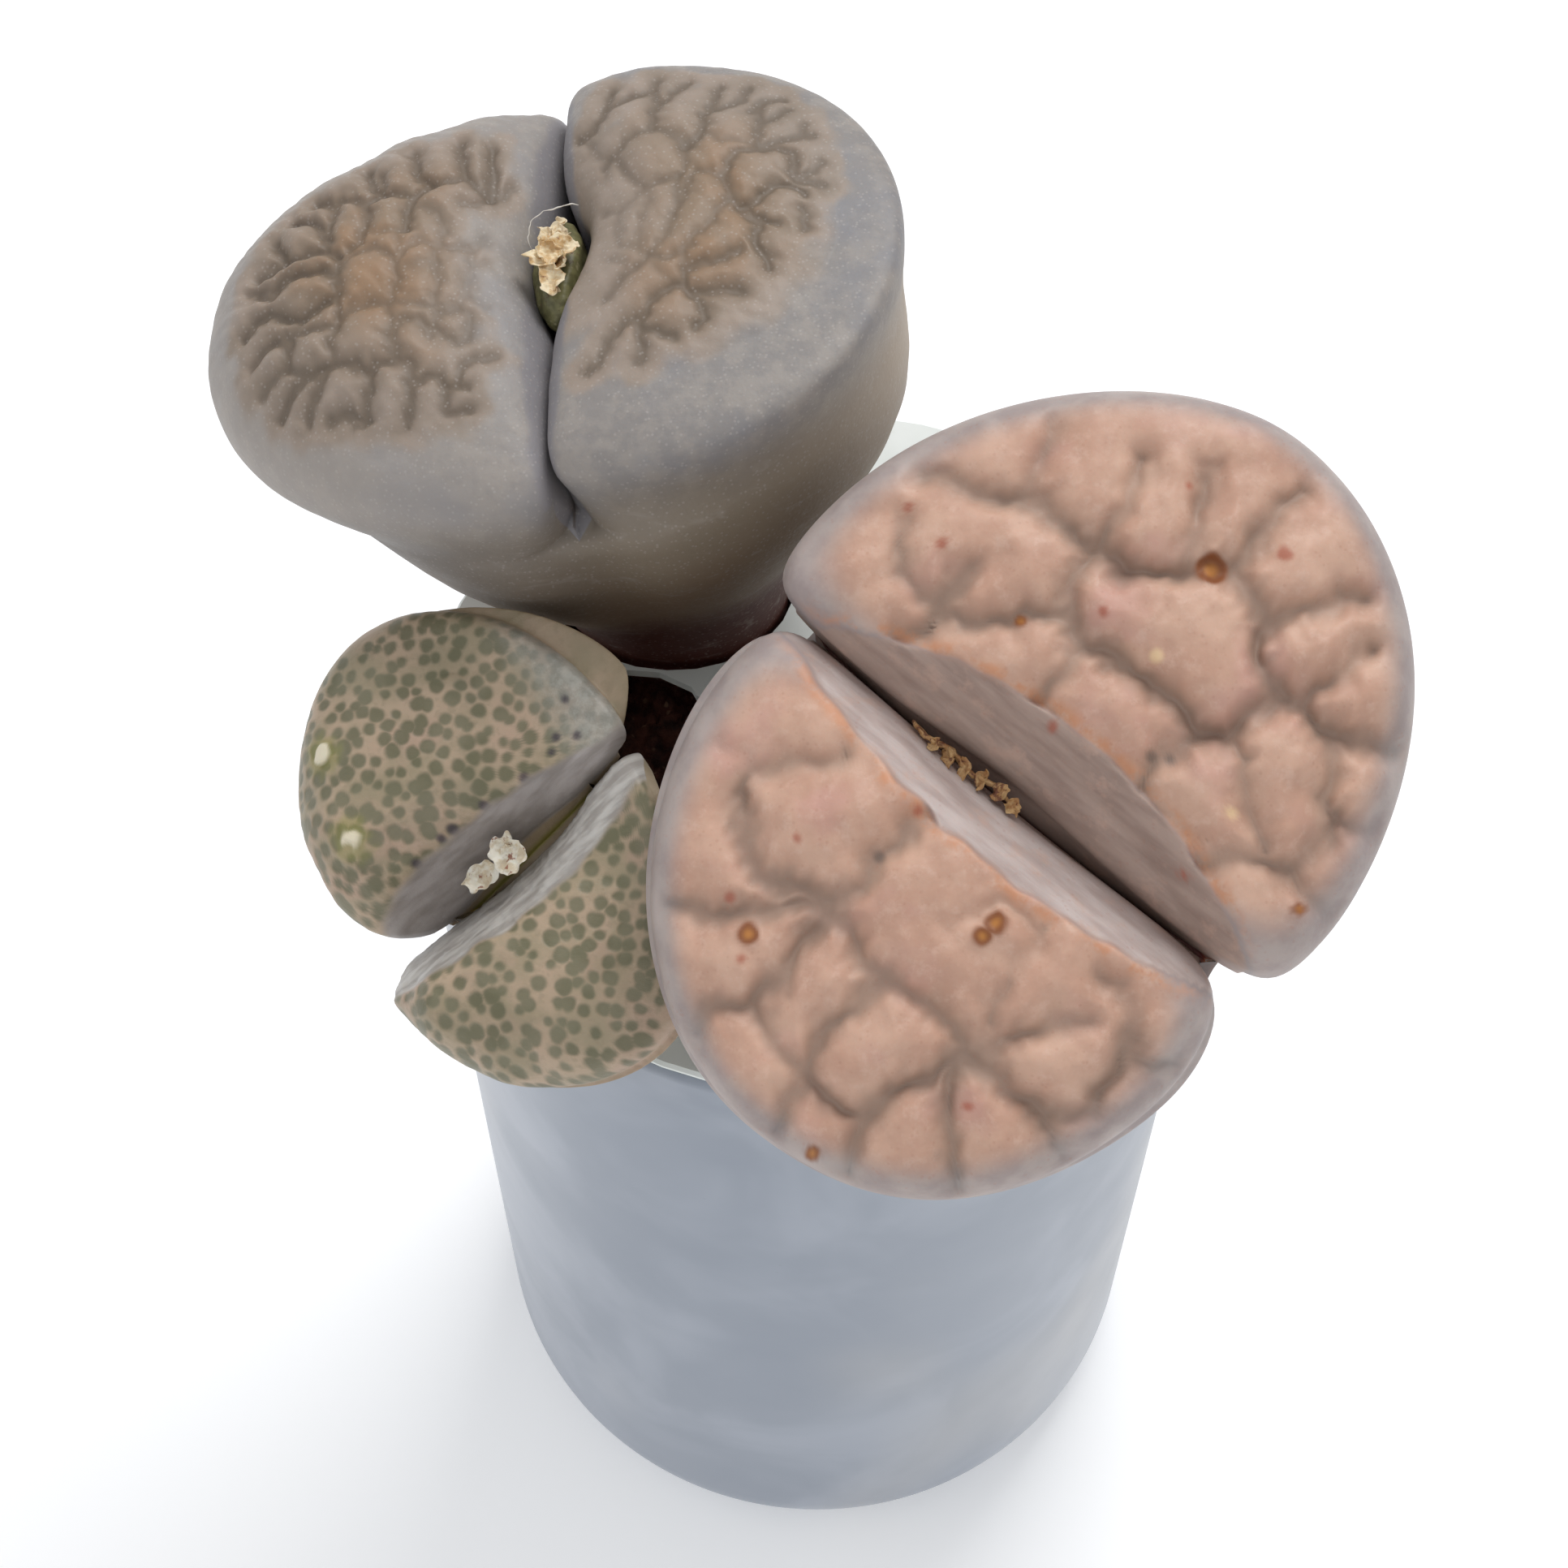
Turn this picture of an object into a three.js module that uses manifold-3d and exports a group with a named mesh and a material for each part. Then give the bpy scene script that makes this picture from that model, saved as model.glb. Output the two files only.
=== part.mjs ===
// Three living-stone heads growing out of one small round ceramic pot.
// Units are millimetres, +Z is up, the pot's flat foot is centred on the origin.
import * as THREE from 'three';
import Module from 'manifold-3d';
import { mergeVertices } from 'three/addons/utils/BufferGeometryUtils.js';

const wasm = await Module();
wasm.setup();

// Pot, its pale cover sheet and the soil
const potRadius = 25;
const potHeight = 76.6;
const potWall = 2.6;
const potFloor = 4;
const potEdgeAcross = 5;
const potEdgeUp = 6.5;
const potSides = 48;
const coverBottom = 76.9;
const coverTop = 77.5;
const coverRadius = 24.9;
const soilTop = 74.2;
const soilClearance = 0.33;
const rootClearance = 0.35;

// Triangles of a head: rows over the face, down the cleft and down the body
const rowsFace = 17;
const rowsCleft = 4;
const rowsBody = 6;

// How far from the cleft a lobe's corner is drawn out
const cornerReach = 4;

// A head is two lobes. x runs across the cleft, y along it, z out of the face.
// Lobe lists hold the lobe on the +x side first, then the one on the -x side.
// top and middle are the body's girth just under the rim and halfway to the neck.
// trim and narrow draw the +y end in, trimLow and narrowLow the -y end, horn the corner at the cleft.
// bulge swells the body below a lobe's +y end. lips is the hollowed zone on both sides of the cleft.
const rightHead = {
  crown: [9.2, -18.05, 99], normal: [-0.12, -0.45], along: [0.773, -0.534, -0.343],
  spineFirst: 13, neck: [8.4, -7, 81], tip: [8.2, -6, 58], length: 45,
  halfLength: 17.4, rim: 4.4, round: 3.2, corner: 6, cleftEnds: 7, cleftDepth: 8, cleftOpen: 2,
  closeIn: 0.9, closeWide: 3.6, floorShift: 0.7, keepOpen: 0,
  pinch: 0.17, pinchWide: 4.6, neckAt: 25, neckWide: 0.33, neckLong: 0.42, longTop: 1.02, longMiddle: 0.76,
  columnsOut: 36, columnsIn: 20, grooveWide: 2.3, grooveDeep: 1.1, dome: 0.35,
  lips: { ends: 1.5, more: 2.6, at: 1, long: 15, slope: 0.8, most: 1.6 },
  lobes: [
    { half: 22.3, top: 1.01, middle: 0.72, gap: 1.2, open: 0.8, openAt: 0, openWide: 9, egg: 0.14,
      slide: 0.3, rise: 0.5, trim: 0.7, trimLow: 0.25, narrow: -0.06, narrowLow: 0.04, horn: -1.4,
      hornLow: 0 },
    { half: 23.6, top: 1.01, middle: 0.72, gap: 0.3, open: 1.6, openAt: 0, openWide: 10, egg: 0.07,
      slide: 0, rise: 0.5, trim: -0.45, trimLow: -0.65, narrow: 0, narrowLow: 0.07, horn: -0.1,
      hornLow: 1.2 },
  ],
  islands: [
    [[4, 13.3], [8.8, 11.2], [10, 14.6], [14.5, 11], [6.2, 8], [17.6, 6.8], [9.6, 3.2], [5.6, 1.6],
      [14.6, 3.3], [20.2, 3], [13.8, -1.2], [19.8, -1.2], [6.2, -6], [17.5, -6.6], [13, -8.2],
      [8.4, -9.8], [4.4, -12.2], [10.5, -12.8]],
    [[-3.6, 12.6], [-9.2, 11], [-11.3, 14], [-14.6, 11.4], [-15.4, 7.8], [-18.4, 4.8], [-6, 8],
      [-11.4, 3.4], [-5.3, 1.3], [-18.6, 0.4], [-15.2, -2.6], [-9.8, -1.6], [-5.3, -4.4],
      [-15.2, -7], [-9, -7.4], [-13.2, -11.2], [-7.4, -11.4], [-2.8, -11.2], [-7, 15.6]],
  ],
};
const backHead = {
  crown: [-15.9, 13.2, 105.4], normal: [-0.08, -0.02], along: [0.16, -1, 0], turn: 0.15,
  spineFirst: 9, neck: [-7.8, 10.3, 86], tip: [-6.8, 10.6, 56], length: 51,
  halfLength: 16.4, rim: 4.9, round: 2.5, corner: 7, cleftEnds: 10, cleftDepth: 9, cleftOpen: 3,
  closeIn: 0.9, closeWide: 2.6, floorShift: 0, keepOpen: 1.5,
  pinch: 0.1, pinchWide: 3, neckAt: 27, neckWide: 0.38, neckLong: 0.43, longTop: 0.94, longMiddle: 0.88,
  columnsOut: 36, columnsIn: 20, grooveWide: 1.7, grooveDeep: 0.9, dome: 0.25,
  lips: { ends: 0.6, more: 0.9, at: -1, long: 16, slope: 0.5, most: 0.8 },
  lobes: [
    { half: 21.3, top: 0.92, middle: 0.71, gap: 0.15, open: 0.9, openAt: -1, openWide: 4.5, egg: -0.05,
      slide: -0.1, rise: 0.3, trim: 0.6, trimLow: 0.4, narrow: 0, narrowLow: 0, horn: 0, hornLow: 0 },
    { half: 19.7, top: 0.98, middle: 0.91, gap: 0.15, open: 1.6, openAt: -1, openWide: 5, egg: 0.19,
      slide: -0.9, rise: 1.4, trim: 0, trimLow: -0.2, narrow: 0, narrowLow: 0, horn: 0, hornLow: -0.4 },
  ],
  islandRings: true,
};
const leftHead = {
  crown: [-19.05, -15.7, 88.4], normal: [-0.08, -0.35], along: [0.822, 0.478, 0.307], turn: -0.05,
  spineFirst: 5, neck: [-10.9, -7.2, 80.5], tip: [-10.7, -7, 63], length: 30,
  halfLength: 10.3, rim: 4, round: 2.4, corner: 5, cleftEnds: 5, cleftDepth: 6.2, cleftOpen: 2,
  closeIn: 0.9, closeWide: 3.8, floorShift: 0.8, keepOpen: 0,
  pinch: 0.28, pinchWide: 2.6, neckAt: 13, neckWide: 0.34, neckLong: 0.44, longTop: 1, longMiddle: 0.7,
  columnsOut: 24, columnsIn: 12, rowsFace: 9,
  lips: { ends: 1.8, more: 1.8, at: -0.5, long: 9.5, slope: 0.8, most: 1.4 },
  lobes: [
    { half: 13.9, top: 1.02, middle: 0.65, gap: 0.5, open: 2.1, openAt: 1, openWide: 7, egg: -0.03,
      slide: 0.3, rise: 0.5, trim: 0.8, trimLow: -1.7, narrow: 0, narrowLow: 0, horn: 0, hornLow: -1.5 },
    { half: 15.5, top: 0.985, middle: 0.65, gap: 0.4, open: 2.2, openAt: 0, openWide: 7, egg: -0.03,
      slide: 0.3, rise: 0.5, trim: -0.4, trimLow: -1.2, narrow: 0.04, narrowLow: 0, horn: -0.9,
      hornLow: -3.4, bulge: 4.8 },
  ],
};

const smooth = (from, to, x) => {
  const t = Math.min(1, Math.max(0, (x - from) / (to - from)));
  return t * t * (3 - 2 * t);
};
const mix = (a, b, t) => a + (b - a) * t;

// Repeatable draw between 0 and 1
function makeDraw(seed) {
  let state = seed;
  return () => {
    state = (state * 1103515245 + 12345) % 2147483648;
    return state / 2147483648;
  };
}

// Monotone curve through a few points, flat-sloped where the values turn
function curveThrough(xs, ys) {
  const n = xs.length;
  const secant = [];
  for (let i = 0; i < n - 1; i++) secant.push((ys[i + 1] - ys[i]) / (xs[i + 1] - xs[i]));
  const slope = [secant[0]];
  for (let i = 1; i < n - 1; i++) {
    const turns = secant[i - 1] * secant[i] <= 0;
    slope.push(turns ? 0 : 2 * secant[i - 1] * secant[i] / (secant[i - 1] + secant[i]));
  }
  slope.push(secant[n - 2]);
  return (x) => {
    const xc = Math.min(xs[n - 1], Math.max(xs[0], x));
    let i = 0;
    while (i < n - 2 && xc > xs[i + 1]) i++;
    const h = xs[i + 1] - xs[i];
    const t = (xc - xs[i]) / h;
    const a = 2 * t * t * t - 3 * t * t + 1;
    const b = t * t * t - 2 * t * t + t;
    const c = -2 * t * t * t + 3 * t * t;
    const d = t * t * t - t * t;
    return a * ys[i] + b * h * slope[i] + c * ys[i + 1] + d * h * slope[i + 1];
  };
}

// How wide the body is at a depth, as a share of the face: a shoulder, a neck, a thin root tip
function taper(head, top, middle, neck) {
  const tip = 0.12;
  const { neckAt, length } = head;
  const xs = [0, 0.15 * neckAt, 0.5 * neckAt, neckAt, (neckAt + length) / 2, length];
  return curveThrough(xs, [1, top, middle, neck, (neck + tip) / 2, tip]);
}
const girthAcross = (head, lobe) => taper(head, lobe.top, lobe.middle, head.neckWide);
const girthAlong = (head) => taper(head, head.longTop, head.longMiddle, head.neckLong);

// Distance from a lobe's centre to the head's ellipse in one direction
function rayToEllipse(angle, centre, a, b) {
  const c = Math.cos(angle);
  const s = Math.sin(angle);
  const A = (c / a) ** 2 + (s / b) ** 2;
  const B = 2 * centre * c / (a * a);
  const C = (centre / a) ** 2 - 1;
  return (-B + Math.sqrt(B * B - 4 * A * C)) / (2 * A);
}

// The same distance for a lobe that stops at the cleft, with softly rounded corners
function rayToLobe(angle, centre, a, b, gap, corner) {
  const ellipse = rayToEllipse(angle, centre, a, b);
  const cleft = (centre - gap) / Math.max(1e-6, -Math.cos(angle));
  const m = Math.min(ellipse, cleft);
  return m * ((m / ellipse) ** corner + (m / cleft) ** corner) ** (-1 / corner);
}

// Column directions: the outer side first, from one cleft end to the other, then the cleft side
function columnAngles(centre, b, outer, inner) {
  const end = Math.atan2(b, -centre);
  const angles = [];
  for (let j = 0; j <= outer; j++) angles.push(mix(-end, end, j / outer));
  for (let j = 1; j < inner; j++) angles.push(end + (j / inner) * (2 * Math.PI - 2 * end));
  return angles;
}

// Raised islands with sunken channels between them: the channel is where the two nearest
// island centres are about equally far, and each island is a low dome.
function islandRelief(head, centres) {
  return (x, y, drop) => {
    let first = 1e9;
    let second = 1e9;
    for (const [cx, cy] of centres) {
      const d = Math.hypot(x - cx, y - cy);
      if (d < first) {
        second = first;
        first = d;
      } else if (d < second) {
        second = d;
      }
    }
    const channel = Math.max(0, 1 - (second - first) / head.grooveWide);
    const dome = head.dome * (1 - Math.min(1, (first / 4) ** 2));
    const fade = 1 - smooth(0.12, 0.55, drop);
    return (dome - head.grooveDeep * channel * channel * (3 - 2 * channel)) * fade;
  };
}

// A relief evened out over a small square, because the face's own triangles are about as large
function softened(relief) {
  const step = 0.55;
  const offsets = [-1, 0, 1];
  return (x, y, drop) => {
    let sum = 0;
    for (const i of offsets) for (const j of offsets) sum += relief(x + i * step, y + j * step, drop);
    return sum / 9;
  };
}

// Island centres of the back head: rings of small islands, smaller and denser towards the rim,
// each ring turned a little and each centre nudged by a seeded draw.
function ringIslands(head, side, seed) {
  const draw = makeDraw(seed);
  const lobe = head.lobes[side > 0 ? 0 : 1];
  const centre = lobe.half * 0.46;
  const rings = [[0.12, 3], [0.36, 7], [0.6, 12], [0.82, 19]];
  const centres = [];
  for (const [share, count] of rings) {
    const turn = draw() * 6.28;
    for (let i = 0; i < count; i++) {
      const angle = turn + (i + 0.5 * (draw() - 0.5)) * 2 * Math.PI / count;
      const reach = rayToLobe(angle, centre, lobe.half, head.halfLength, lobe.gap, head.corner);
      const r = reach * (share + 0.07 * (draw() - 0.5));
      centres.push([side * (centre + r * Math.cos(angle)), r * Math.sin(angle) + lobe.slide]);
    }
  }
  return centres;
}

// Rows of points of one lobe in the head's own frame, from the face centre to the root tip
function lobeRows(head, side) {
  const lobe = head.lobes[side > 0 ? 0 : 1];
  const nFace = head.rowsFace ?? rowsFace;
  const { columnsOut: nOut, columnsIn: nIn } = head;
  const wide = girthAcross(head, lobe);
  const long = girthAlong(head);
  const centre0 = lobe.half * 0.46;
  const b0 = head.halfLength;
  const drawn = head.islandRings ? ringIslands(head, side, side > 0 ? 11 : 29) : null;
  const centres = drawn ?? head.islands?.[side > 0 ? 0 : 1];
  const relief = centres ? softened(islandRelief(head, centres)) : () => 0;

  // Inside the cleft's lips the face falls in proportion to the way past the lip
  const lips = head.lips;
  const fallInside = (x, y) => {
    const far = lips.ends + lips.more * Math.max(0, 1 - ((y - lips.at) / lips.long) ** 2);
    const past = far - Math.abs(x);
    return Math.min(lips.most, lips.slope * 0.5 * (past + Math.hypot(past, 0.35)));
  };

  // Below the rim the body swells past the +y end of a lobe, most of all halfway to the neck
  const swell = (x, y, b, level) => {
    const away = smooth(0, b, y) * smooth(0, 4, x);
    return (lobe.bulge ?? 0) * away * Math.sin(Math.PI * Math.min(1, level / head.neckAt)) ** 2;
  };
  const faceHeight = (x, y) => lobe.rise - 0.002 * x * x - 0.004 * y * y;
  const warp = (x, y, share) => {
    const near = Math.min(1, Math.max(0, 1 - x / lobe.half));
    const open = lobe.open * Math.exp(-(((y - lobe.openAt) / lobe.openWide) ** 2));
    const late = smooth(0, b0, y) * share;
    const early = smooth(0, b0, -y) * share;
    const atCleft = Math.exp(-((x / cornerReach) ** 2));
    const pullLate = (lobe.trim - lobe.horn * atCleft) * late;
    const pullEarly = (lobe.trimLow - lobe.hornLow * atCleft) * early;
    const pulled = y - pullLate + pullEarly;
    const slim = 1 - lobe.narrow * late - lobe.narrowLow * early;
    return [
      x * slim + open * near * near * share,
      pulled * (1 + lobe.egg * (x / lobe.half - 0.4) * share) + lobe.slide * share,
    ];
  };
  const pinch = (x, share) => 1 - head.pinch * share * Math.exp(-((x / head.pinchWide) ** 2));

  // Below their lips the two lobes lean together, soonest at the cleft's ends
  const leanIn = (x, y, drop, part) => {
    const middle = Math.max(0, 1 - (y / b0) ** 2);
    const nearOpening = Math.exp(-(((y - lobe.openAt) / lobe.openWide) ** 2));
    const kept = Math.min(1, head.keepOpen * nearOpening);
    const shut = head.closeIn * part * (1 - kept) * smooth(0.12, 0.5 + 0.5 * middle, drop);
    const shift = head.floorShift * shut * middle * Math.exp(-((x / 2.5) ** 2));
    return x * (1 - shut * Math.exp(-((x / head.closeWide) ** 2))) + side * shift;
  };

  // The face's edge is a rounded corner: rows are spread evenly along that profile
  const steps = 400;
  const profile = [[0, 0, 0]];
  for (let i = 1; i <= steps; i++) {
    const t = (i / steps) * Math.PI / 2;
    const reach = Math.sin(t) ** (2 / head.round);
    const drop = 1 - Math.cos(t) ** (2 / head.round);
    const last = profile[i - 1];
    const run = Math.hypot((reach - last[0]) * lobe.half * 0.8, (drop - last[1]) * head.rim);
    profile.push([reach, drop, last[2] + run]);
  }
  const total = profile[steps][2];
  const profileAt = (share) => {
    let i = 1;
    while (i < steps && profile[i][2] < share * total) i++;
    const t = (share * total - profile[i - 1][2]) / (profile[i][2] - profile[i - 1][2]);
    return [mix(profile[i - 1][0], profile[i][0], t), mix(profile[i - 1][1], profile[i][1], t)];
  };

  const rows = [];
  const angles0 = columnAngles(centre0, b0, nOut, nIn);
  for (let i = 0; i <= nFace; i++) {
    const [reach, drop] = profileAt(i / nFace);
    rows.push(angles0.map((angle) => {
      const r = reach * rayToLobe(angle, centre0, lobe.half, b0, lobe.gap, head.corner);
      const flatX = centre0 + r * Math.cos(angle);
      const flatY = r * Math.sin(angle);
      const [wx, y] = warp(flatX, flatY, 1);
      const x = leanIn(wx, y, drop, 1);
      const raised = relief(side * x, y, drop) - fallInside(x, y);
      return [side * x, y, faceHeight(flatX, flatY) - head.rim * drop + raised, raised];
    }));
  }
  const rimHeights = rows[nFace].map((p) => p[2]);
  for (let k = 1; k <= rowsCleft; k++) {
    const share = k / rowsCleft;
    const level = head.cleftEnds * share ** 2 * (2.54 - 1.54 * share);
    const a = lobe.half * wide(level);
    const b = b0 * long(level);
    const centre = centre0 * wide(level);
    const angles = columnAngles(centre, b, nOut, nIn);
    rows.push(angles.map((angle, j) => {
      const isInner = j > nOut;
      let x;
      let y;
      if (k < rowsCleft) {
        const r = rayToLobe(angle, centre, a, b, lobe.gap * (1 - share), head.corner);
        x = centre + r * Math.cos(angle);
        y = r * Math.sin(angle);
      } else if (isInner) {
        x = 0;
        y = b * (1 - 2 * (j - nOut) / nIn);
      } else {
        const r = rayToEllipse(angle, centre, a, b);
        x = j === 0 || j === nOut ? 0 : centre + r * Math.cos(angle);
        y = j === 0 ? -b : j === nOut ? b : r * Math.sin(angle);
      }
      y = y * pinch(x, share ** 3) + (isInner ? 0 : swell(x, y, b, level));
      const floor = isInner ? -head.cleftDepth : -head.cleftEnds;
      const [wx, wy] = warp(x, y, 1 - share ** head.cleftOpen);
      return [side * leanIn(wx, wy, 1, isInner ? 1 : 1 - share), wy, mix(rimHeights[j], floor, share)];
    }));
  }
  for (let m = 1; m <= rowsBody; m++) {
    const share = m / rowsBody;
    const level = mix(head.cleftEnds, head.length, share);
    const a = lobe.half * wide(level);
    const b = b0 * long(level);
    const centre = centre0 * wide(level);
    const angles = columnAngles(centre, b, nOut, nIn).slice(0, nOut + 1);
    rows.push(angles.map((angle, j) => {
      const r = rayToEllipse(angle, centre, a, b);
      const x = j === 0 || j === nOut ? 0 : centre + r * Math.cos(angle);
      const y = j === 0 ? -b : j === nOut ? b : r * Math.sin(angle);
      const pinched = y * pinch(x, 1 - smooth(0, 0.75, share));
      return [side * x, pinched + swell(x, y, b, level), -level];
    }));
  }
  return rows;
}

// Places points of a head's own frame: z runs down a bent spine from the crown to the plumb root
function makePlacer(head) {
  const crown = new THREE.Vector3(...head.crown);
  const [nx, ny] = head.normal;
  const normal = new THREE.Vector3(nx, ny, Math.sqrt(1 - nx * nx - ny * ny));
  const along = new THREE.Vector3(...head.along);
  along.addScaledVector(normal, -along.dot(normal)).normalize();
  along.applyAxisAngle(normal, -(head.turn ?? 0));
  const across = new THREE.Vector3().crossVectors(along, normal);
  const first = crown.clone().addScaledVector(normal, -head.spineFirst);
  const spine = new THREE.CubicBezierCurve3(
    crown, first, new THREE.Vector3(...head.neck), new THREE.Vector3(...head.tip));
  spine.arcLengthDivisions = 400;
  const total = spine.getLength();
  return ([x, y, z]) => {
    const depth = -z * total / head.length;
    if (depth <= 0) {
      const above = crown.clone().addScaledVector(normal, -depth);
      return above.addScaledVector(across, x).addScaledVector(along, y);
    }
    const u = Math.min(1, depth / total);
    const up = spine.getTangentAt(u).negate();
    const turn = new THREE.Quaternion().setFromUnitVectors(normal, up);
    return spine.getPointAt(u)
      .addScaledVector(across.clone().applyQuaternion(turn), x)
      .addScaledVector(along.clone().applyQuaternion(turn), y);
  };
}

function geometryFrom(points, faces) {
  const geometry = new THREE.BufferGeometry();
  const numbers = points.flatMap((p) => [p.x, p.y, p.z]);
  geometry.setAttribute('position', new THREE.Float32BufferAttribute(numbers, 3));
  geometry.setIndex(faces.flat());
  return geometry;
}

// The whole head: both lobes share the points of the cleft's floor and of the body's two seams
function headGeometry(head) {
  const nFace = head.rowsFace ?? rowsFace;
  const { columnsOut: nOut, columnsIn: nIn } = head;
  const place = makePlacer(head);
  const joinRow = nFace + rowsCleft;
  const points = [];
  const faces = [];
  const shared = {};
  const add = (p) => points.push(place(p)) - 1;
  const tips = [];
  for (const side of [1, -1]) {
    const rows = lobeRows(head, side);
    const index = rows.map((row, i) => row.map((p, j) => {
      if (i === 0) return j === 0 ? add(p) : points.length - 1;
      const welded = i >= joinRow && (j > nOut || j === 0 || j === nOut);
      const key = `${i},${j}`;
      if (welded && key in shared) return shared[key];
      const id = add(p);
      if (welded) shared[key] = id;
      return id;
    }));
    const push = (a, b, c) => faces.push(side > 0 ? [a, b, c] : [a, c, b]);
    const columns = nOut + nIn;
    for (let i = 0; i < rows.length - 1; i++) {
      const last = i >= joinRow ? nOut : columns;
      for (let j = 0; j < last; j++) {
        const next = (j + 1) % columns;
        const [a, b, c, d] = [index[i][j], index[i + 1][j], index[i + 1][next], index[i][next]];
        const fall = (p, q) => Math.abs((p[3] ?? 0) - (q[3] ?? 0));
        const flipped = i > 0 && i < nFace
          && fall(rows[i + 1][j], rows[i][next]) < fall(rows[i][j], rows[i + 1][next]) - 0.02;
        if (i === 0) {
          push(a, b, c);
        } else if (flipped) {
          push(a, b, d);
          push(b, c, d);
        } else {
          push(a, b, c);
          push(a, c, d);
        }
      }
    }
    tips.push([index[rows.length - 1], push]);
  }
  const tip = add([0, 0, -head.length]);
  for (const [row, push] of tips) {
    for (let j = 0; j < nOut; j++) push(row[j], tip, row[j + 1]);
  }
  return geometryFrom(points, faces);
}

function toManifold(geometry) {
  const clean = new Float32Array(geometry.attributes.position.array);
  return new wasm.Manifold(new wasm.Mesh({
    numProp: 3, vertProperties: clean, triVerts: new Uint32Array(geometry.index.array),
  }));
}

function fromManifold(solid) {
  const mesh = solid.getMesh();
  const geometry = new THREE.BufferGeometry();
  geometry.setAttribute('position', new THREE.BufferAttribute(new Float32Array(mesh.vertProperties), 3));
  geometry.setIndex(new THREE.BufferAttribute(new Uint32Array(mesh.triVerts), 1));
  return geometry;
}

// A plain peg a little larger than a head's neck and root, used to cut that head's hole
function rootPeg(head, clearance, sides = 26) {
  const wide = head.lobes.map((lobe) => girthAcross(head, lobe));
  const long = girthAlong(head);
  const place = makePlacer(head);
  const points = [];
  const faces = [];
  const levels = rowsBody;
  const top = head.cleftEnds;
  for (let i = 0; i <= levels; i++) {
    const level = mix(top, head.length, i / levels);
    for (let j = 0; j < sides; j++) {
      const angle = (j / sides) * 2 * Math.PI;
      const side = Math.cos(angle) >= 0 ? 0 : 1;
      const a = head.lobes[side].half * wide[side](level) + clearance;
      const b = head.halfLength * long(level) + clearance;
      const end = i === levels ? clearance : 0;
      const onRing = place([a * Math.cos(angle), b * Math.sin(angle), -level]);
      points.push(onRing.add(new THREE.Vector3(0, 0, -end)));
    }
  }
  for (let i = 0; i < levels; i++) {
    for (let j = 0; j < sides; j++) {
      const next = (j + 1) % sides;
      const [a, b, c, d] = [i * sides + j, (i + 1) * sides + j, (i + 1) * sides + next, i * sides + next];
      faces.push([a, b, c], [a, c, d]);
    }
  }
  const topId = points.push(place([0, 0, -top])) - 1;
  const tipId = points.push(place([0, 0, -head.length]).add(new THREE.Vector3(0, 0, -clearance))) - 1;
  for (let j = 0; j < sides; j++) {
    const next = (j + 1) % sides;
    faces.push([topId, j, next], [tipId, levels * sides + next, levels * sides + j]);
  }
  return toManifold(geometryFrom(points, faces));
}

// A solid of revolution round +Z from a profile that starts and ends on the axis
function turned(profile, sides, lift = () => 0) {
  const points = [];
  const faces = [];
  const rings = [];
  profile.forEach(([r, z]) => {
    if (r === 0) {
      rings.push([points.push(new THREE.Vector3(0, 0, z + lift(0, 0, z))) - 1]);
      return;
    }
    const ring = [];
    for (let j = 0; j < sides; j++) {
      const angle = (j / sides) * 2 * Math.PI;
      const x = r * Math.cos(angle);
      const y = r * Math.sin(angle);
      ring.push(points.push(new THREE.Vector3(x, y, z + lift(x, y, z))) - 1);
    }
    rings.push(ring);
  });
  for (let i = 0; i < rings.length - 1; i++) {
    const lower = rings[i];
    const upper = rings[i + 1];
    for (let j = 0; j < sides; j++) {
      const next = (j + 1) % sides;
      if (lower.length === 1) faces.push([lower[0], upper[next], upper[j]]);
      else if (upper.length === 1) faces.push([lower[j], lower[next], upper[0]]);
      else faces.push([lower[j], lower[next], upper[next]], [lower[j], upper[next], upper[j]]);
    }
  }
  return geometryFrom(points, faces);
}

function arcPoints(cx, cz, rx, rz, from, to, steps) {
  const out = [];
  for (let i = 0; i <= steps; i++) {
    const angle = mix(from, to, i / steps);
    out.push([cx + rx * Math.cos(angle), cz + rz * Math.sin(angle)]);
  }
  return out;
}

// Turns every face outwards
function outward(geometry) {
  const p = geometry.attributes.position;
  const index = geometry.index.array;
  const [a, b, c] = [new THREE.Vector3(), new THREE.Vector3(), new THREE.Vector3()];
  let volume = 0;
  for (let i = 0; i < index.length; i += 3) {
    a.fromBufferAttribute(p, index[i]);
    b.fromBufferAttribute(p, index[i + 1]);
    c.fromBufferAttribute(p, index[i + 2]);
    volume += a.dot(b.cross(c));
  }
  if (volume < 0) {
    for (let i = 0; i < index.length; i += 3) [index[i], index[i + 1]] = [index[i + 1], index[i]];
  }
  return geometry;
}

// The pot: straight wall, softly rounded foot and lip, a flat foot and an even floor
const innerRadius = potRadius - potWall;
const lip = 0.7;
const footInside = 3;
const potProfile = [
  [0, 0],
  ...arcPoints(potRadius - potEdgeAcross, potEdgeUp, potEdgeAcross, potEdgeUp, -Math.PI / 2, 0, 5),
  ...arcPoints(potRadius - lip, potHeight - lip, lip, lip, 0, Math.PI / 2, 2),
  ...arcPoints(innerRadius + lip, potHeight - lip, lip, lip, Math.PI / 2, Math.PI, 2),
  ...arcPoints(innerRadius - footInside, potFloor + footInside, footInside, footInside, 0, -Math.PI / 2, 2),
  [0, potFloor],
];

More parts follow.
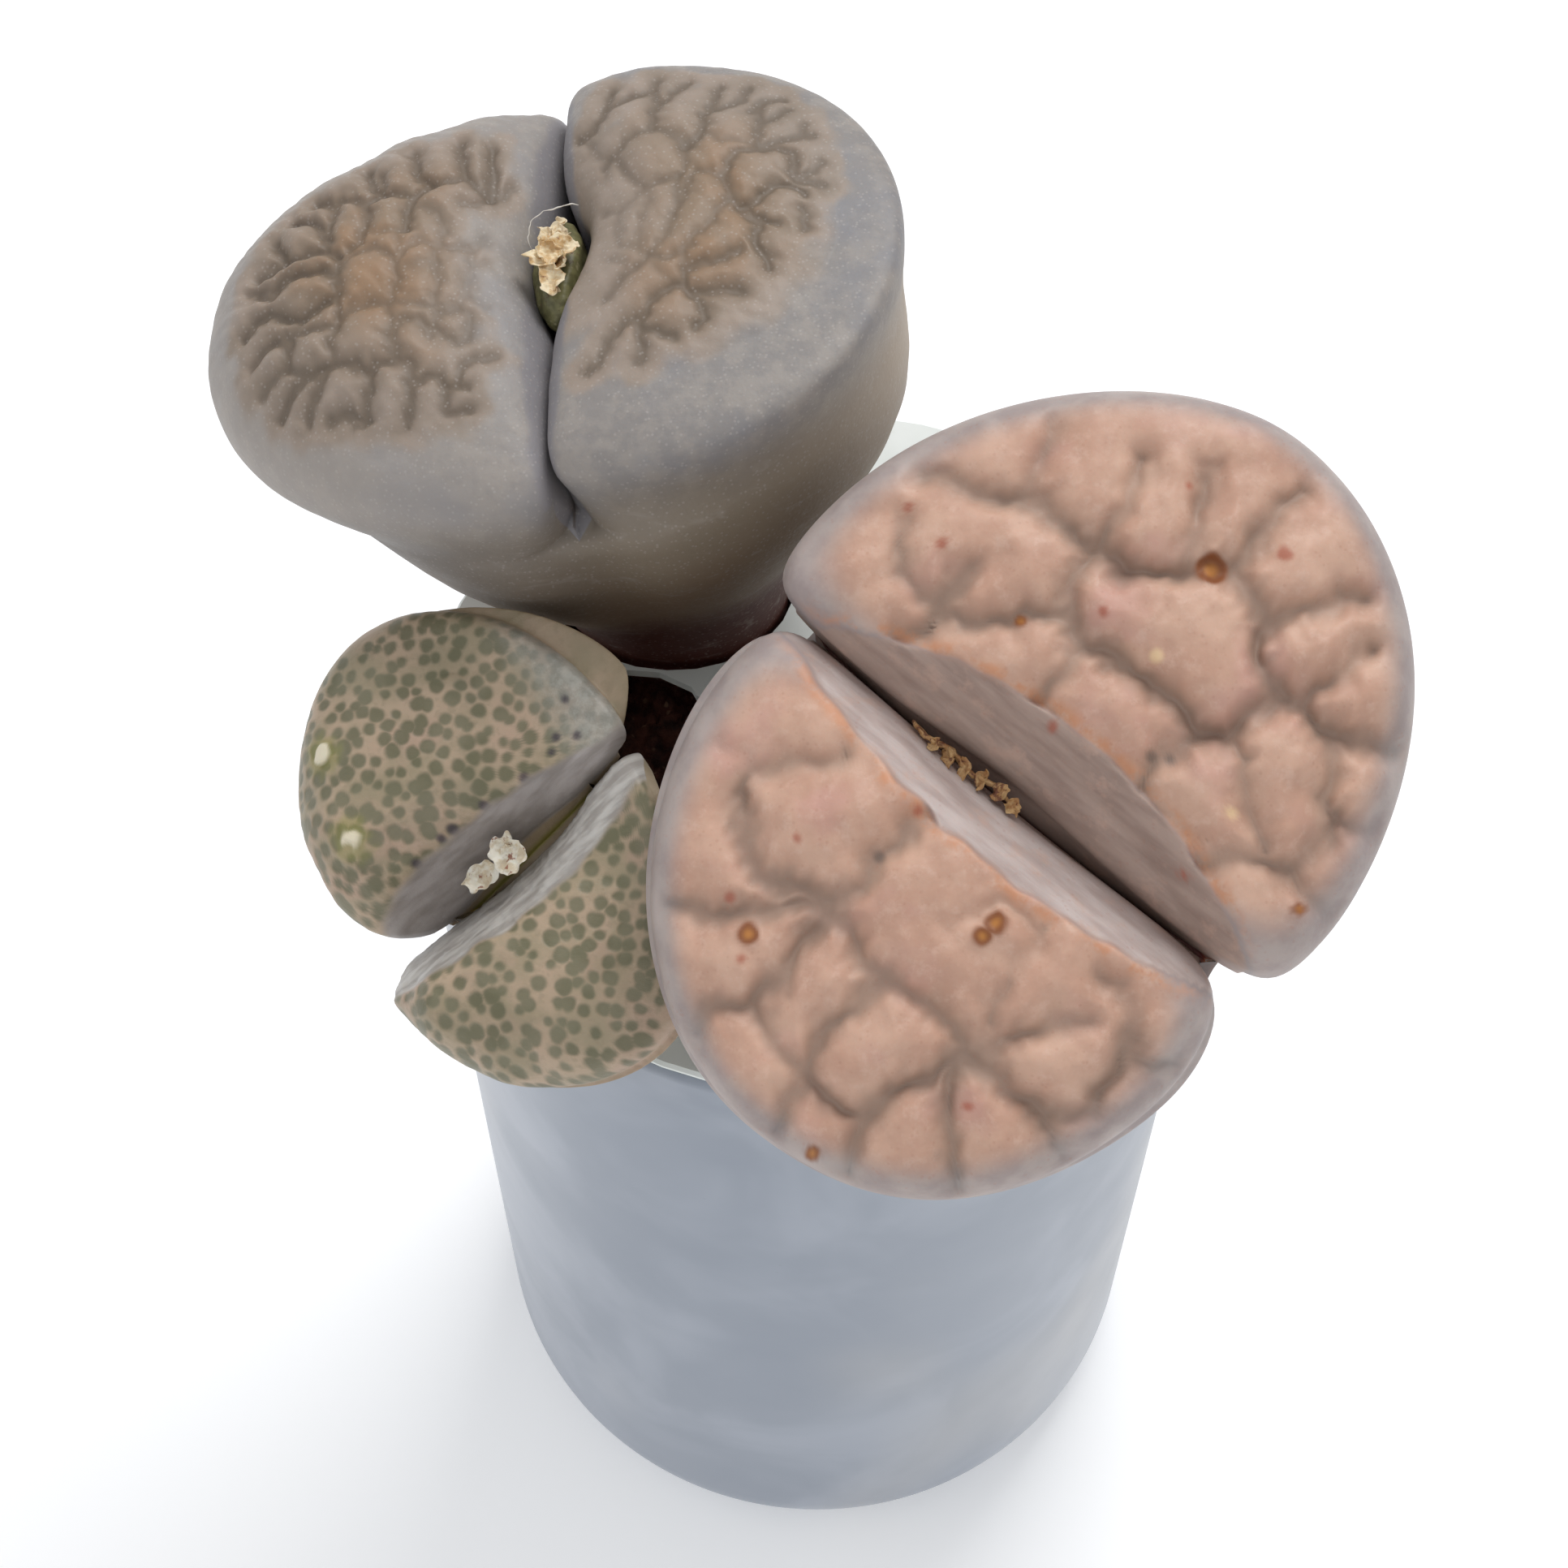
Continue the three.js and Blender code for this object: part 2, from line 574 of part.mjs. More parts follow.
// The soil: fills the pot, with a crumbly top and a plain hole for each root
const soilRadius = innerRadius - soilClearance;
const soilBottom = potFloor + soilClearance;
const crumbHeight = 0.35;
const soilProfile = [
  [0, soilBottom],
  ...arcPoints(soilRadius - footInside, soilBottom + footInside, footInside, footInside, -Math.PI / 2, 0, 2),
  ...[1, 0.75, 0.5, 0.25].map((share) => [soilRadius * share, soilTop]),
  [0, soilTop],
];
const crumbs = (x, y, z) => {
  if (z < soilTop) return 0;
  return crumbHeight * (Math.sin(1.9 * x + 0.7 * y) * Math.cos(1.6 * y - 0.5 * x) - 0.4);
};
let soil = toManifold(outward(turned(soilProfile, 26, crumbs)));

// The cover: a thin pale sheet on the lip, with a close hole for the back head
// and one angular cut-out for the other two
const coverEdge = 0.2;
const coverProfile = [
  [0, coverBottom],
  [coverRadius - coverEdge, coverBottom],
  [coverRadius, coverBottom + coverEdge],
  [coverRadius, coverTop - coverEdge],
  [coverRadius - coverEdge, coverTop],
  [0, coverTop],
];
const cutOut = [
  [-12.3, 4.2], [-10.3, 4.0], [-8.3, 2.9], [-8.0, 2.3], [-7.2, 1.8], [-3, 1.2], [4, 2.2], [11, 2.6],
  [17, 0.5], [20.5, -4.5], [20, -8.5], [14.5, -15], [8, -19.8], [-2, -21.2], [-12, -17.8],
  [-18.2, -11.6], [-21, -6], [-19, -1.5], [-16, 1.8],
];
const cutShape = new THREE.Shape(cutOut.map(([x, y]) => new THREE.Vector2(x, y)));
const cutPrism = new THREE.ExtrudeGeometry(cutShape, { depth: 4, bevelEnabled: false });
cutPrism.translate(0, 0, coverBottom - 2);
cutPrism.deleteAttribute('normal');
cutPrism.deleteAttribute('uv');
let cover = toManifold(outward(turned(coverProfile, 48))).subtract(toManifold(mergeVertices(cutPrism)));
for (const head of [rightHead, backHead, leftHead]) {
  const peg = rootPeg(head, rootClearance);
  soil = soil.subtract(peg);
  cover = cover.subtract(peg);
}

// A crumpled lump: a sphere stretched to three half sizes, with ridges raised along a wave
function crumpledLump(head, centre, half, ridge, waves, columns, rings) {
  const place = makePlacer(head);
  const points = [];
  const faces = [];
  const at = (theta, phi) => {
    const swell = 1 + ridge * Math.sin(waves[0] * phi + 1.3 * Math.sin(waves[1] * theta))
      * Math.sin(theta) ** 2;
    const flat = [Math.cos(phi) * Math.sin(theta), Math.cos(theta), Math.sin(phi) * Math.sin(theta)];
    return place(flat.map((v, i) => centre[i] + half[i] * v * (i === 1 ? 1 : swell)));
  };
  const first = points.push(at(0, 0)) - 1;
  for (let i = 1; i < rings; i++) {
    for (let j = 0; j < columns; j++) points.push(at((i / rings) * Math.PI, (j / columns) * 2 * Math.PI));
  }
  const last = points.push(at(Math.PI, 0)) - 1;
  const id = (i, j) => 1 + (i - 1) * columns + (j % columns);
  for (let j = 0; j < columns; j++) {
    faces.push([first, id(1, j), id(1, j + 1)], [last, id(rings - 1, j + 1), id(rings - 1, j)]);
    for (let i = 1; i < rings - 1; i++) {
      faces.push([id(i, j), id(i + 1, j), id(i + 1, j + 1)], [id(i, j), id(i + 1, j + 1), id(i, j + 1)]);
    }
  }
  return outward(geometryFrom(points, faces));
}

// A dried ribbon standing on edge, curled along a path in the head's frame, its height waving
function curledRibbon(head, path, thick, tall, wave, segments) {
  const place = makePlacer(head);
  const curve = new THREE.CatmullRomCurve3(path.map((p) => new THREE.Vector3(...p)));
  const sides = 6;
  const points = [];
  const faces = [];
  for (let i = 0; i <= segments; i++) {
    const t = i / segments;
    const c = curve.getPoint(t);
    const along = curve.getTangent(t);
    const flank = new THREE.Vector3(-along.y, along.x, 0).normalize();
    const end = Math.sqrt(Math.max(0.12, 1 - (2 * t - 1) ** 6));
    const height = tall * end * (1 + wave * Math.sin(9 * t * Math.PI));
    const width = thick * end;
    for (let j = 0; j < sides; j++) {
      const angle = ((j + 0.5) / sides) * 2 * Math.PI;
      const p = c.clone().addScaledVector(flank, width * Math.cos(angle));
      points.push(place([p.x, p.y, p.z + height * Math.sin(angle)]));
    }
  }
  for (let i = 0; i < segments; i++) {
    for (let j = 0; j < sides; j++) {
      const next = (j + 1) % sides;
      const [a, b] = [i * sides + j, i * sides + next];
      faces.push([a, a + sides, b + sides], [a, b + sides, b]);
    }
  }
  for (let j = 1; j < sides - 1; j++) {
    const base = segments * sides;
    faces.push([0, j, j + 1], [base, base + j + 1, base + j]);
  }
  return outward(geometryFrom(points, faces));
}

const capsule = crumpledLump(backHead, [-0.35, -1, -4], [0.8, 3.3, 1.5], 0.1, [5, 2], 12, 8);
const backFlower = crumpledLump(backHead, [-0.35, -0.8, -1.3], [0.95, 3.1, 0.65], 0.22, [4, 5], 14, 10);
const rightFlower = curledRibbon(rightHead, [
  [0.5, -6.6, -4.1], [0.65, -5.3, -4], [0.45, -4, -4.1],
  [0.7, -2.6, -3.9], [0.5, -1.2, -4.1], [0.7, 0.2, -4],
], 0.16, 0.46, 0.22, 18);
const leftFlower = curledRibbon(leftHead, [
  [0.2, -2.4, -3.4], [0.65, -1.9, -3.4], [0.4, -1.1, -3.3], [0.55, -0.3, -3.3], [0.85, 0.4, -3.2],
  [0.6, 1.2, -3.2], [0.2, 1.1, -3.3], [0.2, 0.5, -3.4],
], 0.13, 0.55, 0.15, 22);

const plainMaterial = (color, roughness) =>
  new THREE.MeshStandardMaterial({ color, roughness, metalness: 0 });
const part = new THREE.Group();
function addPiece(name, geometry, material) {
  const mesh = new THREE.Mesh(geometry, material);
  mesh.name = name;
  part.add(mesh);
}
addPiece('pot', outward(turned(potProfile, potSides)), plainMaterial(0xb9c4cf, 0.25));
addPiece('cover', fromManifold(cover), plainMaterial(0xd8dfda, 0.5));
addPiece('soil', fromManifold(soil), plainMaterial(0x2e2320, 0.95));
addPiece('lithops_back', outward(headGeometry(backHead)), plainMaterial(0x8f8580, 0.55));
addPiece('lithops_right', outward(headGeometry(rightHead)), plainMaterial(0xc79c88, 0.5));
addPiece('lithops_left', outward(headGeometry(leftHead)), plainMaterial(0x9a9478, 0.5));
addPiece('seed_capsule', capsule, plainMaterial(0x6f7458, 0.6));
addPiece('dried_flower_back', backFlower, plainMaterial(0xcdb68a, 0.8));
addPiece('dried_flower_right', rightFlower, plainMaterial(0xb98f62, 0.8));
addPiece('dried_flower_left', leftFlower, plainMaterial(0xe2d6bd, 0.8));

export default part;
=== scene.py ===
# Three living-stone heads leaning out of a small round ceramic pot, seen from above.
import math

import bpy
import numpy as np
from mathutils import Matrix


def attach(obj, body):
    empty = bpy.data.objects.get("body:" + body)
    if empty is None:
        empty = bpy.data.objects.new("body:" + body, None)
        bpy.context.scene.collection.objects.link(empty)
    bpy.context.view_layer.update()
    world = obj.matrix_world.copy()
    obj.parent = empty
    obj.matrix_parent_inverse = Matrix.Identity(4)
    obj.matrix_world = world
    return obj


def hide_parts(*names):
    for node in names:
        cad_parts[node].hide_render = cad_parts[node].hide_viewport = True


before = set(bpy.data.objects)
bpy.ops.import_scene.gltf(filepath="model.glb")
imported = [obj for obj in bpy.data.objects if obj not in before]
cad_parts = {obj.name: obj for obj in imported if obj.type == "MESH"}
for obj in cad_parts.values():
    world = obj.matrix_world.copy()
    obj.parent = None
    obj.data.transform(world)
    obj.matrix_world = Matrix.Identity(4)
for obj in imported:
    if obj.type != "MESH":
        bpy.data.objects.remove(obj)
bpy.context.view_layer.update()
mm = 0.001               # shapes are worked out in millimetres and scaled as they enter a mesh
print("frame loaded:", sorted(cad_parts))


# Small maths

def smoothStep(low, high, x):
    t = np.clip((x - low) / (high - low), 0.0, 1.0)
    return t * t * (3.0 - 2.0 * t)


def unit(v):
    return v / np.linalg.norm(v, axis=-1, keepdims=True)


# A soft random field: a sum of sine waves in drawn directions, about -1.5 to 1.5
def waves(points, wavelength, seed, count=9):
    draw = np.random.default_rng(seed)
    direction = unit(draw.normal(size=(count, points.shape[-1])))
    pace = 2 * np.pi / wavelength * draw.uniform(0.65, 1.45, count)
    phase = draw.uniform(0, 2 * np.pi, count)
    return np.sin(points @ (direction * pace[:, None]).T + phase).sum(-1) / math.sqrt(count)


# A bell of height 1: e to the power of minus the square of x / wide
def bell(x, wide):
    return np.exp(-((x / wide) ** 2))


# Places moved by soft random fields; each shift is its size, its wavelength and a seed for x and for y
def wander(x, y, *shifts):
    place = np.stack([x, y], -1)
    for size, wavelength, seedX, seedY in shifts:
        x = x + size * waves(place, wavelength, seedX)
        y = y + size * waves(place, wavelength, seedY)
    return x, y


# The +x side's item of a pair, or the -x side's
def ofSide(pair, side):
    return pair[0 if side > 0 else 1]


# A smooth curve through a few points that never overshoots them
def curveThrough(xs, ys):
    xs, ys = np.asarray(xs, float), np.asarray(ys, float)
    secant = np.diff(ys) / np.diff(xs)
    product = secant[:-1] * secant[1:]
    total = np.where(product > 0, secant[:-1] + secant[1:], 1.0)
    slope = np.concatenate([secant[:1], np.where(product > 0, 2 * product / total, 0.0), secant[-1:]])

    def at(x):
        x = np.clip(x, xs[0], xs[-1])
        i = np.clip(np.searchsorted(xs, x, side="right") - 1, 0, len(xs) - 2)
        h = xs[i + 1] - xs[i]
        t = (x - xs[i]) / h
        start = (2 * t**3 - 3 * t**2 + 1) * ys[i] + (t**3 - 2 * t**2 + t) * h * slope[i]
        return start + (3 * t**2 - 2 * t**3) * ys[i + 1] + (t**3 - t**2) * h * slope[i + 1]
    return at


# Meshes from arrays

def newObject(name, data):
    made = bpy.data.objects.new(name, data)
    bpy.context.scene.collection.objects.link(made)
    return made


# One closed mesh. Its faces are turned outward if its volume, a sixth of the sum of the corners'
# triple products, comes out below zero. Marks are values at its points, plane is the face's own x and y.
def meshPiece(name, points, quads, triangles, marks=None, plane=None):
    a, b, c, d = (points[quads[:, k]] for k in range(4))
    e, f, g = (points[triangles[:, k]] for k in range(3))
    volume = (a * (np.cross(b, c) + np.cross(c, d))).sum() + (e * np.cross(f, g)).sum()
    if volume < 0:
        quads, triangles = quads[:, ::-1], triangles[:, ::-1]
    mesh = bpy.data.meshes.new(name)
    mesh.vertices.add(len(points))
    mesh.vertices.foreach_set("co", (np.asarray(points) * mm).astype(np.float32).ravel())
    corners = np.concatenate([np.ravel(quads), np.ravel(triangles)]).astype(np.int32)
    starts = np.concatenate([np.arange(len(quads)) * 4, len(quads) * 4 + np.arange(len(triangles)) * 3])
    mesh.loops.add(len(corners))
    mesh.loops.foreach_set("vertex_index", corners)
    mesh.polygons.add(len(starts))
    mesh.polygons.foreach_set("loop_start", starts.astype(np.int32))
    mesh.polygons.foreach_set("use_smooth", np.ones(len(starts), bool))
    mesh.update(calc_edges=True)
    for key, values in (marks or {}).items():
        mesh.attributes.new(key, "FLOAT", "POINT").data.foreach_set("value", values.astype(np.float32))
    if plane is not None:
        uv = mesh.uv_layers.new(name="face")
        uv.data.foreach_set("uv", plane[corners].astype(np.float32).ravel())
    return newObject(name, mesh)


# Gives a piece its material and body, and hides the CAD nodes that it replaces
def dress(piece, material, slot, *nodes):
    piece.data.materials.append(material)
    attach(piece, "root")
    if nodes:
        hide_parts(*nodes)


# Quads of a grid of points whose last column joins its first
def gridQuads(rows, columns):
    ids = np.arange(rows * columns).reshape(rows, columns)
    right = np.roll(ids, -1, 1)
    return np.stack([ids[:-1], right[:-1], right[1:], ids[1:]], -1).reshape(-1, 4)


# Rings of points, rows by columns, closed by one point at each end
def closedRings(rings, first, last):
    rows, columns = rings.shape[:2]
    points = np.concatenate([rings.reshape(-1, 3), [first], [last]])
    j = np.arange(columns)
    after = (j + 1) % columns
    end, top = rows * columns, (rows - 1) * columns
    triangles = np.concatenate([np.stack([0 * j + end, after, j], -1),
                                np.stack([0 * j + end + 1, top + j, top + after], -1)])
    return points, gridQuads(rows, columns), triangles


# Several closed parts as one
def joinParts(parts):
    points, quads, triangles = [], [], []
    start = 0
    for p, q, t in parts:
        points.append(p)
        quads.append(q + start)
        triangles.append(t + start)
        start += len(p)
    return np.concatenate(points), np.concatenate(quads), np.concatenate(triangles)


# Shader maths: a wire carries one socket's value, and sums and products of wires add Math nodes

class Wire:
    def __init__(self, finish, socket):
        self.finish = finish
        self.socket = socket

    def __add__(self, other):
        return self.finish.math("ADD", self, other)

    def __radd__(self, other):
        return self.finish.math("ADD", other, self)

    def __sub__(self, other):
        return self.finish.math("SUBTRACT", self, other)

    def __rsub__(self, other):
        return self.finish.math("SUBTRACT", other, self)

    def __mul__(self, other):
        return self.finish.math("MULTIPLY", self, other)

    def __rmul__(self, other):
        return self.finish.math("MULTIPLY", other, self)


class Finish:
    def __init__(self, name, **fixed):
        self.material = bpy.data.materials.new(name)
        self.material.use_nodes = True
        self.tree = self.material.node_tree
        self.shader = self.tree.nodes["Principled BSDF"]
        self.set(**fixed)
        self.place = self.node("ShaderNodeTexCoord").outputs["Object"]

    # Any node: its type, its settings, then the values or wires of its sockets
    def node(self, kind, settings=None, sockets=None):
        made = self.tree.nodes.new(kind)
        for key, value in (settings or {}).items():
            setattr(made, key, value)
        for key, value in (sockets or {}).items():
            self.feed(made.inputs[key], value)
        return made

    def feed(self, socket, value):
        source = value.socket if isinstance(value, Wire) else value
        if isinstance(source, bpy.types.NodeSocket):
            self.tree.links.new(source, socket)
        else:
            socket.default_value = source

    def set(self, **sockets):
        for key, value in sockets.items():
            self.feed(self.shader.inputs[key.replace("_", " ")], value)
        return self.material

    def math(self, operation, a, b):
        return Wire(self, self.node("ShaderNodeMath", {"operation": operation}, {0: a, 1: b}).outputs[0])

    def larger(self, a, b):
        return self.math("MAXIMUM", a, b)

    # A value that the mesh carries at each point
    def mark(self, name):
        return Wire(self, self.node("ShaderNodeAttribute", {"attribute_name": name}).outputs["Fac"])

    # How far a value is between two limits, from 0 to 1, with soft ends
    def between(self, value, low, high):
        made = self.node("ShaderNodeMapRange", {"interpolation_type": "SMOOTHSTEP"},
                         {"Value": value, "From Min": low, "From Max": high})
        return Wire(self, made.outputs["Result"])

    def scaled(self, place, scale):
        return self.node("ShaderNodeMapping", None, {"Vector": place, "Scale": scale}).outputs[0]

    # Noise of a grain size in millimetres, about 0 to 1
    def noise(self, grain, detail=3.0, rough=0.55, stretch=None, twist=0.0):
        where = self.scaled(self.place, stretch) if stretch else self.place
        sockets = {"Vector": where, "Scale": 1.0 / (grain * mm), "Detail": detail, "Roughness": rough,
                   "Distortion": twist}
        return Wire(self, self.node("ShaderNodeTexNoise", None, sockets).outputs["Fac"])

    # Patches: how far such a noise is between two limits
    def patches(self, low, high, *noise):
        return self.between(self.noise(*noise), low, high)

    # Streaks along the cleft: noise over the face's own plane, drawn out along y
    def streaks(self, grain, longer):
        face = self.node("ShaderNodeUVMap", {"uv_map": "face"}).outputs[0]
        where = self.scaled(face, (1, 1 / longer, 1))
        made = self.node("ShaderNodeTexNoise", None, {"Vector": where, "Scale": 1.0 / grain, "Detail": 3.0})
        return Wire(self, made.outputs["Fac"])

    # The place from left to right, in metres
    def across(self):
        return Wire(self, self.node("ShaderNodeSeparateXYZ", None, {0: self.place}).outputs[0])

    # Cells of a grain size in millimetres: distance to the nearest cell centre, in cells
    def cells(self, grain):
        sockets = {"Vector": self.place, "Scale": 1.0 / (grain * mm)}
        return Wire(self, self.node("ShaderNodeTexVoronoi", None, sockets).outputs["Distance"])

    # From one colour to another by a share; a colour is a wire or a triple as tone takes it
    def mix(self, share, *colours):
        a, b = (tone(*c) if isinstance(c, tuple) else c for c in colours)
        made = self.node("ShaderNodeMix", {"data_type": "RGBA"}, {0: share, 6: a, 7: b})
        return Wire(self, made.outputs[2])

    # Lays colours over a base one after the other, each by its share
    def lay(self, base, *layers):
        for share, colour in layers:
            base = self.mix(share, base, colour)
        return base

    def bump(self, height, strength, distance, below=None):
        sockets = {"Height": height, "Strength": strength, "Distance": distance * mm}
        if below is not None:
            sockets["Normal"] = below
        return Wire(self, self.node("ShaderNodeBump", None, sockets).outputs["Normal"])


# A colour as seen on screen, 0 to 255, turned into the shader's linear values
def tone(red, green, blue):
    level = np.array([red, green, blue]) / 255.0
    linear = np.where(level <= 0.04045, level / 12.92, ((level + 0.055) / 1.055) ** 2.4)
    return (*[float(v) for v in linear], 1.0)


# The pot: its wall, foot and lip turned round the upright axis

pot = {"radius": 25.0, "height": 76.6, "wall": 2.6, "floor": 4.0, "foot": (5.0, 6.5), "lip": 0.7,
       "inside": 3.0, "clear": 1, "around": 160, "wallRows": 30, "bottomRings": (0.25, 0.5, 0.75),
       "footSteps": 12, "lipSteps": 5, "insideSteps": 6}


# Points of a quarter arc: centre plus two radii times cosine and sine, from a number of quarter turns on
def arcOf(cx, cz, rx, rz, quarters, way, steps):
    angle = np.linspace(quarters * np.pi / 2, (quarters + way) * np.pi / 2, steps + 1)
    return np.stack([cx + rx * np.cos(angle), cz + rz * np.sin(angle)], -1)


# A profile of radius and height, carried round the axis; its first and last points are on the axis
def turnedPiece(profile, around, lift=None):
    angle = np.arange(around) / around * 2 * np.pi
    ring = profile[1:-1]
    x, y = ring[:, :1] * np.cos(angle), ring[:, :1] * np.sin(angle)
    z = np.repeat(ring[:, 1:], around, 1)
    if lift is not None:
        z = z + lift(x, y, z)
    return closedRings(np.stack([x, y, z], -1), [0, 0, profile[0, 1]], [0, 0, profile[-1, 1]])


def makePot():
    p = pot
    (across, up), lip, curve = p["foot"], p["lip"], p["inside"]
    outer, top = p["radius"], p["height"]
    inner = outer - p["wall"]
    wallUp = np.linspace(up, top - lip, p["wallRows"])[1:-1]
    rise = np.stack([0 * wallUp + outer, wallUp], -1)
    fall = np.stack([0 * wallUp + inner, wallUp[::-1]], -1)
    profile = np.concatenate([
        [[0, 0]], np.array(p["bottomRings"])[:, None] * [outer - across, 0],
        arcOf(outer - across, up, across, up, -1, 1, p["footSteps"]), rise,
        arcOf(outer - lip, top - lip, lip, lip, 0, 1, p["lipSteps"]),
        arcOf(inner + lip, top - lip, lip, lip, 1, 1, p["lipSteps"]),
        fall[fall[:, 1] > p["floor"] + curve + p["clear"]],
        arcOf(inner - curve, p["floor"] + curve, curve, curve, 0, -1, p["insideSteps"]), [[0, p["floor"]]],
    ])
    piece = meshPiece("glazed_pot", *turnedPiece(profile, p["around"]))
    f = Finish("pale blue grey glaze", IOR=1.5, Coat_Weight=0.2, Coat_Roughness=0.25)
    cloud = f.patches(0.35, 0.7, 14, 3, 0.5, None, 0.6)
    speck = f.between(f.cells(1.6), 0.10, 0.05) * f.patches(0.5, 0.65, 3, 2)
    body = f.lay(f.mix(cloud, (140, 148, 161), (158, 165, 177)),
                 # Painted reflections: tall, soft, warm pale patches like blurred lights on the glaze
                 (f.patches(0.5, 0.75, 26, 2, 0.4, (1, 1, 0.6)) * 0.5, (188, 184, 178)),
                 (speck * 0.25, (128, 136, 148)))
    glaze = f.bump(f.noise(0.8, 2, 0.6), 0.06, 0.05, f.bump(f.noise(9, 2, 0.5), 0.25, 0.15))
    f.set(Base_Color=body, Roughness=0.28 + f.noise(6, 3) * 0.14, Normal=glaze)
    dress(piece, f.material, "pot_glaze", "pot")
    print("pot made")


# The soil: gritty crumbs over the whole bed, seen only through the sheet's cut-out

soil = {"top": 74.0, "bottom": 4.33, "radius": 22.07, "chamfer": 3, "crumb": 0.45, "edge": 1.5,
        "around": 220, "rings": 100, "sideRows": 8}


def makeSoil():
    s = soil
    bottom, radius, chamfer = s["bottom"], s["radius"], s["chamfer"]
    share = np.linspace(1, 0, s["rings"])
    flat = np.stack([radius * share, 0 * share + s["top"]], -1)
    side = np.linspace(bottom + chamfer, s["top"], s["sideRows"])[:-1]
    profile = np.concatenate([[[0, bottom]], [[radius - chamfer, bottom]],
                              np.stack([0 * side + radius, side], -1), flat])

    # Crumb height: three sizes of waves, the finest ones sharpened into grains, none at the edge
    def lift(x, y, z):
        p = np.stack([x, y], -1)
        grain = np.abs(waves(p, 1.7, 3)) + 0.6 * np.abs(waves(p, 0.9, 5))
        height = s["crumb"] * (0.6 * waves(p, 5.0, 1) + grain - 1.0)
        onTop = z > s["top"] - 0.01
        return np.where(onTop, height * smoothStep(radius, radius - s["edge"], np.hypot(x, y)), 0)

    piece = meshPiece("soil_bed", *turnedPiece(profile, s["around"], lift))
    f = Finish("dark red-brown soil", Specular_IOR_Level=0.25)
    base = f.lay(f.mix(f.patches(0.35, 0.65, 1.1, 4), (44, 28, 24), (88, 52, 42)),
                 (f.between(f.cells(0.9), 0.28, 0.12) * 0.7, (132, 104, 84)))
    crumbs = f.bump(f.noise(0.5, 4, 0.7), 0.8, 0.3)
    f.set(Base_Color=base, Roughness=0.75 + f.noise(0.7) * 0.25, Normal=crumbs)
    dress(piece, f.material, "soil", "soil")
    print("soil made")


def finishCover():
    f = Finish("pale greenish white sheet", Specular_IOR_Level=0.4)
    base = f.lay(f.mix(f.patches(0.35, 0.7, 9, 3), (226, 231, 226), (238, 242, 238)),
                 (f.patches(0.58, 0.8, 2.2, 4) * 0.35, (212, 214, 200)))
    f.set(Base_Color=base, Roughness=0.42 + f.noise(4) * 0.15, Normal=f.bump(f.noise(5, 3), 0.2, 0.2))
    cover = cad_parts["cover"]
    cover.data.materials.clear()
    cover.data.materials.append(f.material)
    print("cover finished")


# The heads. x runs across the cleft, y along it, z out of the face, all in millimetres.
# Each list of two holds the lobe on the +x side first, then the one on the -x side.
# What all heads share: the place of a lobe's centre in its half, the root tip's share of the face, how the
# face bows across and along, how wide the changes at the corners, the floor and the swelling reach, how
# fast the rows first go down the cleft, and how finely the rim and the spine are measured.

shared = {"centreAt": 0.46, "rootTip": 0.12, "bowAcross": 0.002, "bowAlong": 0.004, "hornWide": 4.0,
          "floorWide": 2.5, "bulgeWide": 4, "haste": (2.54, 1.54), "pinchEnd": 0.75, "faceWay": 0.8,
          "rimSteps": 1600, "spineSteps": 400}
plainLobe = {"openAt": 0, "slide": 0, "trim": 0, "trimLow": 0, "narrow": 0, "narrowLow": 0, "horn": 0,
             "hornLow": 0, "bulge": 0}

rightHead = {
    "crown": [9.2, -18.05, 99], "normal": [-0.12, -0.45], "along": [0.773, -0.534, -0.343], "turn": 0,
    "spineFirst": 13, "neck": [8.4, -7, 81], "tip": [8.2, -6, 58], "length": 45,
    "halfLength": 17.4, "rim": 4.4, "round": 3.2, "corner": 6, "cleftEnds": 7, "cleftDepth": 8,
    "cleftOpen": 2,
    "pinch": 0.17, "pinchWide": 4.6, "neckAt": 25, "neckWide": 0.33, "neckLong": 0.42,
    "longTop": 1.02, "longMiddle": 0.76,
    "lobes": [
        {"half": 22.3, "top": 1.01, "middle": 0.72, "gap": 1.2, "open": 0.8, "openWide": 9, "egg": 0.14,
         "slide": 0.3, "rise": 0.5, "trim": 0.7, "trimLow": 0.25, "narrow": -0.06, "narrowLow": 0.04,
         "horn": -1.4},
        {"half": 23.6, "top": 1.01, "middle": 0.72, "gap": 0.3, "open": 1.6, "openWide": 10, "egg": 0.07,
         "rise": 0.5, "trim": -0.45, "trimLow": -0.65, "narrowLow": 0.07, "horn": -0.1},
    ],
    "closeIn": 0.9, "closeWide": 3.6, "floorShift": 0.7, "keepOpen": 0,
    "rows": [112, 18, 26], "columns": [212, 92],
}
